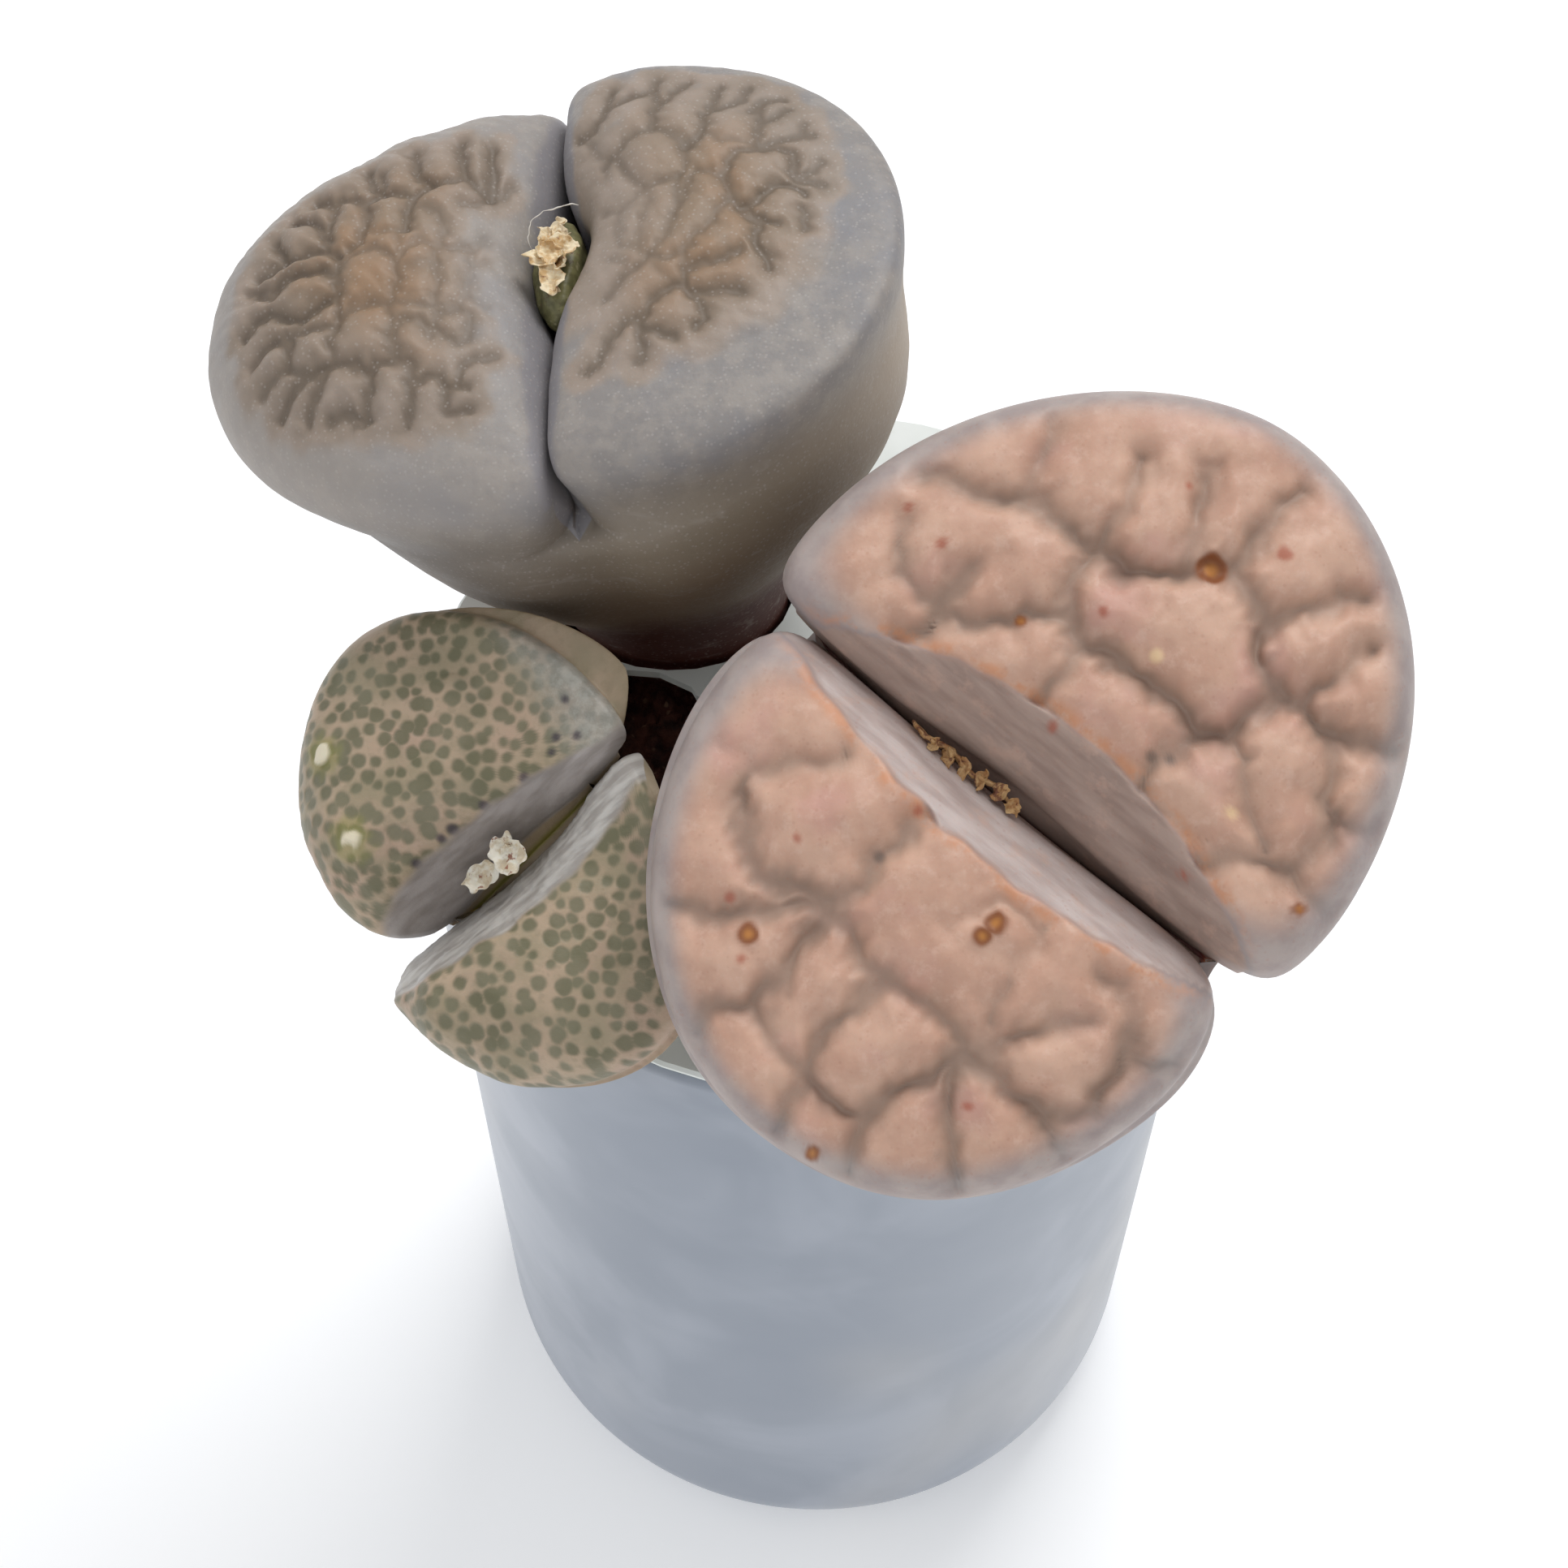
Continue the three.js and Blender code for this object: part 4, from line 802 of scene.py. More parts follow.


# Colours in order: islands, channels, bloom round the rim, the sides, the cleft's two walls, then spots;
# the channels' colour is their own greyer tone with painted shade in their hollows
def pinkSkin():
    f = Finish("pink skin", Subsurface_Weight=0.12, Subsurface_Radius=(1.0, 0.45, 0.3),
               Subsurface_Scale=0.0015, IOR=1.42)
    channel, wall, down, edge = f.mark("channel"), f.mark("wall"), f.mark("down"), f.mark("edge")
    onWall = f.between(wall, 0.0, 0.05)
    island = f.lay(f.mix(f.patches(0.35, 0.68, 3.2, 4, 0.6), (195, 154, 133), (210, 172, 150)),
                   (f.patches(0.52, 0.75, 5.5, 3) * 0.6, (204, 156, 145)),
                   (f.patches(0.5, 0.72, 0.9, 4, 0.65) * 0.35, (222, 190, 172)))
    bloom = f.mix(f.patches(0.35, 0.65, 2.5, 4), (152, 144, 144), (172, 164, 161))
    side = f.mix(f.between(down, 0.25, 0.9), bloom, (141, 121, 106))
    upper = f.mix(f.between(f.streaks(0.7, 7), 0.35, 0.7), (178, 156, 145), (156, 134, 124))
    lower = f.mix(f.between(f.streaks(0.7, 7), 0.35, 0.7), (200, 186, 181), (178, 160, 154))
    inside = f.lay(f.mix(f.mark("lower"), upper, lower),
                   (f.patches(0.5, 0.7, 1.6, 4, 0.65) * 0.5, (200, 168, 152)),
                   (f.between(edge, 0.9, 0.3) * (1 - onWall), (150, 146, 150)))
    speck = f.between(f.cells(0.42), 0.3, 0.12) * f.patches(0.42, 0.6, 1.0, 3)
    # Channels: partly their own greyer tone, partly painted shade in the sunken channels
    base = f.lay(island, (f.between(channel, 0.25, 0.95) * 0.85, (152, 128, 113)),
                 (f.between(f.mark("rim"), 0.22, 0.95) * 0.85, bloom),
                 (f.mark("lip") * f.patches(0.42, 0.62, 1.9, 4, 0.65) * 0.75, (204, 142, 104)),
                 (f.between(down, 0.12, 0.4) * (1 - onWall), side), (f.larger(edge, onWall), inside),
                 (f.between(wall, 0.75, 1.0) * 0.8, (122, 62, 56)), (speck * 0.2, (172, 122, 102)),
                 (f.mark("red") * 0.75, (170, 92, 70)), (f.mark("dark") * 0.7, (104, 92, 84)),
                 (f.mark("pale") * 0.7, (236, 205, 160)), (f.mark("scab"), (134, 80, 46)),
                 (f.mark("scabHeart") * 0.8, (190, 128, 62)))
    skin = f.bump(f.noise(0.45, 4, 0.6), 0.3, 0.07)
    skin = f.bump(f.cells(0.3), 0.14, 0.04, skin)
    skin = f.bump(f.streaks(0.5, 9), edge * 0.5, 0.12, skin)
    rough = 0.42 + f.noise(1.4, 3) * 0.16 + channel * 0.1
    return f.set(Base_Color=base, Roughness=rough, Normal=skin)


# The grey head's face: short branching grooves round the edge and soft cells inside. Lines as above.

greyFace = {
    "lines": [
        [(1, 3.9, 10.25, 4.6, 10.5, 5.1, 10.4, 5.3, 9.5, 5.25, 8.75, 4.5, 8.75, 3.9, 8.9),
         (1, 5.25, 8.75, 5.6, 8.1, 6.25, 8.25, 6.9, 8.75, 7.1, 9.75, 7.4, 10.75),
         (1, 7, 8.25, 7.25, 7.5, 8, 6.9, 9, 7, 9.4, 7.9, 9.6, 9, 9.6, 9.9, 10.25, 9.6, 11, 9.4,
          11.75, 9.5), (0.8, 9.6, 10, 10, 10.2, 10.5, 10.1),
         (0.9, 4.5, 8.75, 4.3, 7.8, 3.6, 7.1, 2.6, 6.9),
         (1, 9.4, 7.5, 10.25, 6.9, 11.25, 6.6, 12, 6.9, 12.5, 7.75, 12.9, 8.6, 13.2, 9.25),
         (1, 12, 6.75, 13, 6.9, 13.75, 7.25, 14.4, 7.9, 14.75, 8.1),
         (0.9, 12.5, 6.75, 13.5, 6.5, 14.25, 6.1, 15.1, 6.4, 15.9, 6.6),
         (1, 14.25, 6, 14.25, 4.75, 14.5, 4.25, 15.5, 4.25, 16.1, 4.75, 16.5, 5.1),
         (0.8, 11.4, 6.5, 11.6, 5.5, 11.5, 4.25, 11.4, 3.25, 11.5, 2, 11.5, 0.75, 11.5, -0.5),
         (0.8, 11.5, 4.25, 12.5, 4.1, 13.5, 4.25, 14.25, 4.4),
         (1, 12, 2.5, 12.75, 3, 13.5, 3.25, 14.5, 2.75, 15.5, 2.4, 16.5, 2.5, 17.1, 3.1),
         (0.7, 14.2, 4.4, 13.9, 3.9, 13.5, 3.3), (0.8, 11.5, 2, 12, 2.4, 12.6, 2.9),
         (1, 11.75, 0.9, 12.5, 0.5, 13.75, 0.4, 15, 0.5, 15.75, 1, 16.5, 0.75),
         (0.8, 15.2, 0.6, 16, 0.5, 16.8, 0.3),
         (1, 11.5, -0.5, 12.25, -1, 13.5, -1.25, 14.75, -1.1, 15.75, -0.9, 16.5, -0.75),
         (1, 12.4, -1.2, 12.5, -2.25, 13, -3.25, 13.75, -4.1, 14.6, -4.25),
         (1, 15, -1.25, 15.25, -2, 15.6, -2.9),
         (0.9, 12.5, -2.8, 12.3, -4, 12.25, -5, 12.75, -5.6, 13.5, -5.75),
         (0.8, 11, -0.9, 10.5, -1.2, 10.25, -2.5, 10.1, -3.75, 10.25, -4.5, 11.25, -5.3, 12.1, -5.5),
         (1, 9.5, -5.2, 10.1, -6, 10.4, -7, 10.6, -7.9), (0.9, 10.2, -4.4, 9.8, -5.2),
         (0.9, 7.75, -2, 7.9, -3.5, 7.6, -4.8, 8.75, -5.2, 9.75, -5.25),
         (1, 6.75, -5.5, 7.4, -6.25, 7.6, -7.25, 8, -8.5, 8.1, -9.25), (0.9, 6.75, -5.5, 7.5, -4.8),
         (0.9, 9.75, -5.25, 9.6, -6.25, 9.75, -7.25),
         (1, 4.25, -5.75, 4.75, -6.5, 5.1, -7.5, 5.4, -8.75, 5.4, -9.5),
         (0.9, 4.75, -6.25, 5.75, -6, 6.75, -5.5), (1, 3.4, -5, 3.5, -6.25, 3.5, -7.75, 3.5, -9),
         (0.9, 3.4, -5, 4.25, -5.75), (0.7, 3.4, -5, 2.75, -5.75, 2.3, -6.3),
         (0.7, 3.4, -5, 4.2, -4.2, 4.9, -4.1),
         (0.7, 4, 5.5, 4.5, 6, 5.25, 5.75, 5.9, 5, 5.75, 4, 4.75, 3.75, 4.1, 4.1, 4, 5.4),
         (0.7, 6, 5.5, 6.75, 4.5, 7.75, 4.5, 8.1, 5.5, 8, 6.9),
         (0.7, 8.1, 6.75, 8.5, 5.5, 8.25, 4.25, 8.5, 3.25, 9.5, 3, 10.75, 3.25, 11.4, 3.75),
         (0.65, 8.25, 3, 8.1, 1.5, 8.5, 0, 9.5, -0.6, 10.75, -0.5, 11.5, 0.5),
         (0.5, 8, 1, 6.75, 0.75, 5.9, 0.5), (0.6, 4.9, 3.8, 5.6, 3.5, 6.9, 3.5, 8.2, 3.2),
         (0.6, 6, 3.5, 5.9, 2, 5.9, 0.5, 6.25, -0.75, 7, -1.25, 7.75, -0.5, 8.1, 0.5),
         (0.5, 3.25, 3.25, 4.1, 3, 4.25, 2, 4.1, 0.5, 3.25, 0), (0.5, 4.1, 2.9, 4.7, 3.7),
         (0.6, 4.25, -0.75, 5.25, -0.5, 5.9, -0.75, 5.75, -2, 6.25, -3.25, 7.25, -3.75, 7.9, -3.5),
         (0.5, 8.25, -2, 9.5, -1.75, 10.25, -2.5), (0.5, 8.2, -0.4, 8.1, -2),
         (0.5, 4.2, 0.3, 4.2, -0.7, 3.5, -1.6)],
        [(1, -5.5, 8.9, -5.6, 8, -5.5, 6.75, -5.25, 6.1, -4.5, 6.4, -3.75, 7.25, -3.4, 8.6, -2.6, 9.1),
         (1, -7.4, 7.5, -6.5, 7.1, -5.6, 6.9),
         (1, -8.5, 6.9, -9, 6.4, -8.75, 5.5, -8.25, 4.75, -7.9, 4, -7.25, 4.1, -6.5, 4.75, -6, 5.5,
          -5.6, 6.2), (1, -11.1, 4.75, -10.5, 4.6, -9.25, 4.7, -8.4, 4.6),
         (0.9, -8, 3.9, -8, 3.25, -8.5, 3, -9.5, 2.75, -10.25, 2.4, -10.9, 2.1),
         (1, -12.5, 3.25, -12.4, 2.6, -12, 1.9, -11.9, 1, -12, 0.25, -11.5, -0.5, -11.1, -1.1),
         (0.9, -14.5, 0.25, -14.5, -0.5, -14.25, -1), (0.9, -13, 0.1, -12.25, -0.1, -11.9, -0.4),
         (1, -14.5, -2.4, -13.9, -2.75, -13, -2.9, -12.25, -2.4, -11.9, -1.75, -11.4, -1.1),
         (1, -15.6, -3, -14.9, -3.25, -14.1, -3.4, -13.9, -4, -13.95, -4.75, -13.9, -5.5, -13, -5.9,
          -12.1, -5.75),
         (0.9, -12.1, -5.75, -11, -5.4, -10.25, -4.5, -10.1, -3.5, -10.25, -2.5, -10.5, -1.75, -11, -1.1),
         (1, -15, -7.1, -14.4, -7.1, -13.25, -6.75, -12.5, -6.25, -12, -6),
         (0.9, -14.4, -7.1, -14.6, -8.1), (0.9, -14.1, -3.4, -14.9, -4.1, -15.4, -4.9),
         (0.9, -12, -6.2, -11.9, -7, -12, -8, -11.9, -9, -12, -9.75, -12.25, -10.3),
         (1, -13.6, -9.25, -13, -8.75, -12.2, -8.4),
         (1, -13.25, -10.5, -12.5, -10.25, -11.9, -9.75, -11.5, -9.25),
         (1, -11.4, -11.5, -11.1, -10.5, -10.5, -9.9, -9.5, -9.4, -9, -8.75, -8.9, -7.75, -8.75, -7,
          -8.25, -6.5, -8, -6), (1, -9.75, -11.6, -9.4, -10.75, -9.1, -9.75, -9.25, -9.4),
         (1, -7.6, -12.25, -7.4, -11.4, -6.9, -10.75, -6.25, -10.25, -6.05, -9.25, -6.1, -8.25, -6, -7.75),
         (1, -6, -12.75, -5.9, -12, -6, -11, -6.1, -10.25),
         (1, -5.9, -11.75, -5.25, -11.25, -4.5, -11, -3.75, -10.75, -3.25, -10.5, -3, -9.5, -2.5, -9,
          -1.75, -8.6), (1, -3.4, -12.25, -3.25, -11.25, -3.1, -10.6),
         (0.8, -6, -7.75, -5.5, -7.4, -4.5, -6.75, -3.75, -6, -3.25, -5.4),
         (0.6, -3.6, -6, -2.6, -6.9, -2.2, -8), (0.8, -8, -6, -7.5, -6.75, -6.75, -7.25, -6, -7.75),
         (0.7, -8, -6, -7.9, -5, -7.75, -4, -7.5, -3, -7.6, -1.8),
         (0.7, -7.6, -3.7, -6.5, -3.25, -5.5, -3.1, -4.75, -4.25, -4.25, -5.25, -3.75, -6),
         (0.7, -10.1, -3, -9.5, -3.75, -8.5, -3.9, -8, -3, -7.75, -1.75, -7.25, -0.75),
         (0.7, -10.5, -1.75, -9.75, -0.75, -9.25, 0.25, -8.5, 1, -8, 1.9, -8, 3),
         (0.6, -7.25, -0.75, -6.9, 0.5, -6.5, 1.5, -6, 2),
         (0.7, -8, 1.9, -7, 2.25, -6, 2, -5.5, 2.5, -4.75, 3.25, -4.25, 3.75, -3.5, 4.5),
         (0.5, -5.5, -3.1, -5.75, -2, -5.6, -1, -5.4, 0.5, -5.5, 1.9),
         (0.5, -4.25, -1.75, -4, -0.5, -4.4, 1, -5.4, 1.4),
         (0.6, -11.9, -6.25, -11, -6.5, -10, -6.25, -9, -7),
         (0.5, -5.4, -3, -4.7, -2.2, -4.2, -1.8, -3.4, -2.2), (0.5, -6, 2.1, -6.3, 3.2, -7, 3.9),
         (0.5, -4.7, 3.3, -4.5, 2.4, -3.8, 1.9)],
    ],
    "wides": (0.4, 0.85, 1.9), "grooveDeep": 0.2, "shoulderDeep": 0.26, "low": -0.05,
    "bends": ((0.1, 2.6, 21, 23), (0.05, 0.9, 22, 24)), "capsuleAt": -1,
    "lips": [{"ends": 0.6, "more": 0.9, "at": -1, "long": 16, "slope": 0.5, "most": 0.8}] * 2,
}


# Height: grooves with wide shoulders. The field inside them starts past the grooves, well in from the rim,
# or beside the capsule.
def greyRelief(x, y, drop, reach, side):
    face = greyFace
    place = np.stack([x, y], -1)
    bent = wander(x, y, *face["bends"])
    groove, shoulder, spread = nearLines(*bent, ofSide(face["lines"], side), *face["wides"])
    field = smoothStep(0.3, 0.95, spread + 0.1 * waves(place, 2.4, 25))
    field = np.maximum(field, 1 - smoothStep(0.5, 0.75, reach + 0.03 * waves(place, 2.4, 28)))
    nearCapsule = smoothStep(9, 6, np.abs(y - face["capsuleAt"])) * smoothStep(7, 5, np.abs(x)) * (side < 0)
    field = np.maximum(field, nearCapsule)
    fall, inside, _ = lips(x, y, face["lips"], side)
    height = face["low"] - face["grooveDeep"] * groove - face["shoulderDeep"] * shoulder - fall
    height = height + 0.08 * waves(place, 6, 27) + 0.02 * waves(place, 1.3, 26)
    window = field * (1 - smoothStep(0.15, 0.72, reach))
    return height, {"channel": groove, "hollow": shoulder, "window": window, "field": field, "edge": inside}


# Colours in order: the field, the bloom round it, grooves, the sides down to the root, then the cleft.
# Painted light lightens the head's left part and right side; painted shade adds to the foot's dark band and
# darkens the cleft's floor
def greySkin():
    f = Finish("grey skin", Subsurface_Weight=0.1, Subsurface_Radius=(1.0, 0.5, 0.3),
               Subsurface_Scale=0.0012, IOR=1.42)
    wall, down, window, across = f.mark("wall"), f.mark("down"), f.mark("window"), f.across()
    # Painted light: from about 8 mm left of the middle outward, the head's left part gets a lighter rim and
    # a bluer grey body, as if lit by blue sky from the left
    paintedSkyLeft = f.between(across, -0.008, -0.028)
    island = f.lay(f.mix(f.patches(0.35, 0.65, 2.6, 4), (150, 136, 123), (162, 147, 135)),
                   (window * 0.75, (144, 121, 97)),
                   (window * f.patches(0.42, 0.64, 4.5, 3) * 0.42, (166, 126, 90)))
    bloom = f.lay(f.mix(f.patches(0.4, 0.62, 1.8, 4, 0.65), (138, 133, 130), (152, 145, 139)),
                  (f.patches(0.5, 0.68, 7, 3) * 0.6, (130, 130, 135)), (paintedSkyLeft * 0.6, (172, 163, 155)))
    # Painted light on the right: the body turns a lighter warm tan towards the head's right side, as if lit
    # from there
    middle = f.lay(f.mix(paintedSkyLeft, (134, 121, 104), (122, 117, 114)),
                   (f.between(across, -0.006, 0.006), (174, 158, 140)))
    side = f.lay(bloom, (f.between(down + f.noise(9, 3) * 0.12, 0.14, 0.5), middle),
                 (f.between(down + f.noise(9, 3) * 0.25, 0.5, 0.86), (130, 108, 88)),
                 # The darkest band at the foot of the body is partly its own red-brown and partly painted
                 # shade where the body goes into the sheet
                 (f.between(down + f.noise(5, 3) * 0.2, 0.84, 1.06), (86, 46, 38)))
    streak = f.patches(0.55, 0.75, 0.9, 3, 0.6, (0.25, 1, 1.2), 0.6) * f.between(down, 0.1, 0.4)
    base = f.lay(f.mix(f.between(f.mark("field"), 0.1, 0.95), bloom, island),
                 (f.mark("hollow") * 0.55, (122, 107, 91)),
                 (f.between(f.mark("channel"), 0.1, 1.0) * 0.55, (92, 80, 67)),
                 (f.between(down, 0.08, 0.3), side), (streak * 0.25, (176, 168, 160)),
                 (f.larger(f.mark("edge"), f.between(wall, 0.0, 0.1)), (138, 134, 136)),
                 # Painted shade: the cleft's walls darken towards its floor
                 (f.between(wall, 0.6, 1.0) * 0.7, (92, 80, 72)),
                 (f.between(f.cells(0.34), 0.32, 0.1) * 0.24, (192, 184, 178)))
    skin = f.bump(f.cells(0.26), 0.2, 0.04, f.bump(f.noise(0.4, 4, 0.6), 0.35, 0.07))
    return f.set(Base_Color=base, Roughness=0.46 + f.noise(1.2, 3) * 0.16, Normal=skin)


# The olive head's face: close dark dots on a peach-beige skin

dottedFace = {"spacing": 1.0, "jitter": 0.3, "radius": (0.28, 0.5), "deep": 0.04, "seed": 5,
              "rows": (-12, 13), "columns": (-14, 15), "rowStep": 0.87, "fieldAt": 8, "fieldRadius": 13,
              "clear": 0.5, "scarHigh": 0.12, "halo": 0.6,
              "bends": (0.04, 1.1, 31, 32), "frays": (0.14, 1.0, 36, 37),
              "lips": [{"ends": 2.4, "more": 1.8, "at": -0.5, "long": 9.5, "slope": 0.8, "most": 3.2},
                       {"ends": 0.9, "more": 1.5, "at": -0.5, "long": 9.5, "slope": 0.8, "most": 1.4}],
              "scars": [(-10.2, -4, 0.48), (-5.2, -5.4, 0.5)],
              "purple": [(-2.4, 1.4, 0.3), (-2.5, -0.8, 0.3), (-2.5, -1.6, 0.24), (-2.3, -3.6, 0.26),
                         (-2.1, 4.2, 0.3), (-2.7, 7, 0.26), (-2.2, 6.3, 0.2), (-2, 8, 0.26),
                         (-4, 8.7, 0.22)]}


# Dot places: a triangular lattice whose points are nudged, with a drawn radius for each
def dotPlaces():
    d = dottedFace
    draw = np.random.default_rng(d["seed"])
    rows, columns = np.mgrid[slice(*d["rows"]), slice(*d["columns"])]
    x = (columns + 0.5 * (rows % 2)) * d["spacing"]
    y = rows * d["spacing"] * d["rowStep"]
    nudge = draw.uniform(-1, 1, (2, *x.shape)) * d["jitter"] * d["spacing"]
    radius = draw.uniform(*d["radius"], x.shape)
    return np.stack([x + nudge[0], y + nudge[1]], -1).reshape(-1, 2), radius.ravel()


# Height: shallow dots on the open face, creases where the skin is wrinkled, raised scars, then the lips
def dottedRelief(x, y, drop, reach, side):
    d = dottedFace
    centres, radii = dotPlaces()
    fromMiddle = side * centres[:, 0]
    near = np.hypot(fromMiddle - d["fieldAt"], centres[:, 1]) < d["fieldRadius"]
    close = near & (fromMiddle > d["clear"])
    away = distances(*wander(x, y, d["bends"]), centres[close]) - radii[close]
    fall, inside, _ = lips(x, y, d["lips"], side)
    dots = smoothStep(0.12, -0.12, away.min(-1))
    inField = (1 - inside) * (1 - smoothStep(0.8, 1.0, drop))
    frayed = wander(x, y, d["frays"])
    scar = spotMask(*frayed, d["scars"])
    wrinkle = smoothStep(6, 9.5, y) * (side < 0) + 0.7 * inside * (side > 0) + smoothStep(0.5, 1.0, drop)
    crease = np.abs(waves(np.stack([x * 0.35 + y * 0.5, y * 1.5 - x], -1), 1.3, 33))
    height = 0.12 * waves(np.stack([x, y], -1), 5, 34) - d["deep"] * dots * inField
    height = height - 0.12 * crease * np.minimum(1, wrinkle) + d["scarHigh"] * scar - fall
    marks = {
        "dot": dots * inField * (1 - scar),
        "scar": scar,
        "halo": spotMask(*frayed, [(sx, sy, radius + d["halo"]) for sx, sy, radius in d["scars"]], 0.5),
        "purple": spotMask(x, y, d["purple"], 0.14),
        "grey": smoothStep(6.5, 10, y + 0.12 * (x + 8)) * (side < 0) * 0.8,
        "edge": inside,
        "lower": inside * (side > 0),
    }
    return height, marks


# Colours in order: the skin, its dots, ash, spots and scars, the sides, then the cleft's two walls
def oliveSkin():
    f = Finish("olive skin", Subsurface_Weight=0.1, Subsurface_Radius=(1.0, 0.6, 0.35),
               Subsurface_Scale=0.001, IOR=1.45)
    wall, down = f.mark("wall"), f.mark("down")
    skin = f.lay(f.mix(f.patches(0.35, 0.65, 2.8, 4), (180, 158, 134), (157, 143, 117)),
                 (f.patches(0.52, 0.7, 4.5, 3) * 0.5, (186, 154, 136)),
                 (f.patches(0.5, 0.7, 0.5, 3) * 0.3, (140, 128, 104)))
    dot = f.mix(f.patches(0.4, 0.6, 3.0, 2), (98, 98, 72), (114, 112, 88))
    ash = f.mix(f.patches(0.4, 0.62, 1.1, 5, 0.7), (150, 148, 142), (178, 176, 170))
    upper = f.lay(f.mix(f.between(f.streaks(0.6, 6), 0.35, 0.65), (166, 158, 154), (138, 130, 124)),
                  (f.between(wall, 0.0, 0.35), (152, 134, 108)))
    lower = f.mix(f.between(f.streaks(0.5, 5), 0.35, 0.65), (156, 150, 144), (190, 186, 180))
    inside = f.mix(f.mark("lower"), upper, lower)
    base = f.lay(skin, (f.mark("dot") * 0.85, dot), (f.mark("grey") * 0.85, ash),
                 (f.mark("purple") * 0.85, (62, 52, 62)), (f.mark("halo") * 0.45, (146, 144, 62)),
                 (f.mark("scar"), (226, 216, 190)), (f.between(down, 0.28, 0.42), (122, 108, 84)),
                 (f.between(down, 0.75, 1.05), (84, 62, 48)),
                 (f.larger(f.mark("edge"), f.between(wall, 0.0, 0.08)), inside),
                 (f.between(wall, 0.5, 0.95) * 0.85, (146, 140, 52)))
    grain = f.bump(f.noise(0.9, 4, 0.6, (1, 2.2, 1)), 0.3, 0.12, f.bump(f.noise(0.35, 4, 0.65), 0.4, 0.07))
    return f.set(Base_Color=base, Roughness=0.38 + f.noise(1.0, 3) * 0.16, Normal=grain)


# Small dry and green pieces in the clefts

# A piece in a head's cleft: its closed parts, placed in the head's own frame
def cleftPiece(name, head, parts, material, slot, *nodes):
    local, quads, triangles = joinParts(parts)
    dress(meshPiece(name, placeHead(head, local), quads, triangles), material, slot, *nodes)


capsule = {"centre": (-0.25, -0.9, -3.6), "half": (1.5, 3.9, 2.0), "ridge": 0.08, "ridges": 6, "sway": 2,
           "swayBy": 1.3, "grain": (0.03, 0.9, 41), "columns": 96, "rows": 120}


# A ball stretched to three half sizes, with low ridges that run from end to end
def makeCapsule():
    c = capsule
    theta = (np.arange(1, c["rows"]) / c["rows"] * np.pi)[:, None]
    phi = (np.arange(c["columns"]) / c["columns"] * 2 * np.pi)[None]
    ridges = np.sin(c["ridges"] * phi + c["swayBy"] * np.sin(c["sway"] * theta))
    swell = 1 + c["ridge"] * ridges * np.sin(theta) ** 2
    ball = np.stack([np.cos(phi) * np.sin(theta) * swell, np.cos(theta) + 0 * phi,
                     np.sin(phi) * np.sin(theta) * swell], -1)
    rings = ball * c["half"]
    high, wavelength, seed = c["grain"]
    rings = rings + high * waves(rings, wavelength, seed)[..., None] * ball + c["centre"]
    ends = np.array([[0, c["half"][1], 0], [0, -c["half"][1], 0]]) + c["centre"]
    f = Finish("green capsule", IOR=1.45)
    base = f.lay(f.mix(f.patches(0.35, 0.65, 0.9, 4, 0.6), (96, 94, 62), (128, 124, 84)),
                 (f.patches(0.55, 0.7, 0.35, 4, 0.7) * 0.7, (86, 52, 38)),
                 (f.patches(0.6, 0.75, 0.6, 3) * 0.6, (186, 176, 140)))
    f.set(Base_Color=base, Roughness=0.35 + f.noise(0.6) * 0.2, Normal=f.bump(f.noise(0.3, 3), 0.5, 0.08))
    cleftPiece("seed_capsule_fine", backHead, [closedRings(rings, *ends)], f.material, "capsule_green",
               "seed_capsule")


# The matrix that turns points about one axis by an angle in degrees
def turnAbout(axis, degrees):
    c, s = math.cos(math.radians(degrees)), math.sin(math.radians(degrees))
    i, j = (axis + 1) % 3, (axis + 2) % 3
    matrix = np.eye(3)
    matrix[i, i], matrix[i, j], matrix[j, i], matrix[j, j] = c, -s, s, c
    return matrix


# A dry petal: a thin cup, rows from the middle of its upper face over the rim to the middle of its lower
# face. Height = cup * r^2 + ruffle * r^2 * sin(folds * angle), crumpled by a soft random field.
def petal(centre, half, turn, tilt, cup, ruffle, folds, seed, columns=64, rows=22, thick=0.05):
    r = np.arange(1, rows + 1) / rows
    r = np.concatenate([r, r[::-1]])[:, None]
    face = np.concatenate([np.ones(rows), -np.ones(rows)])[:, None]
    angle = (np.arange(columns) / columns * 2 * np.pi)[None]
    edge = 1 + 0.16 * np.sin(2 * angle + seed) + 0.07 * np.sin(7 * angle + 2 * seed)
    flat = np.stack([r * half[0] * np.cos(angle) * edge, r * half[1] * np.sin(angle) * edge,
                     0 * r * angle], -1)
    flat = flat + 0.10 * r[..., None] * np.stack([waves(flat, 0.7, seed + k) for k in (1, 2, 3)], -1)
    folded = cup * r**2 + ruffle * r**2 * np.sin(folds * angle + seed)
    flat[..., 2] += folded + 0.05 * waves(flat, 0.35, seed + 4)
    flat[..., 2] += face * thick * np.sqrt(1.06 - r**2)
    middle = np.array([[0, 0, thick], [0, 0, -thick]])
    place = (turnAbout(0, tilt[0]) @ turnAbout(1, tilt[1]) @ turnAbout(2, turn)).T
    return closedRings(flat @ place + centre, *(middle @ place + centre))


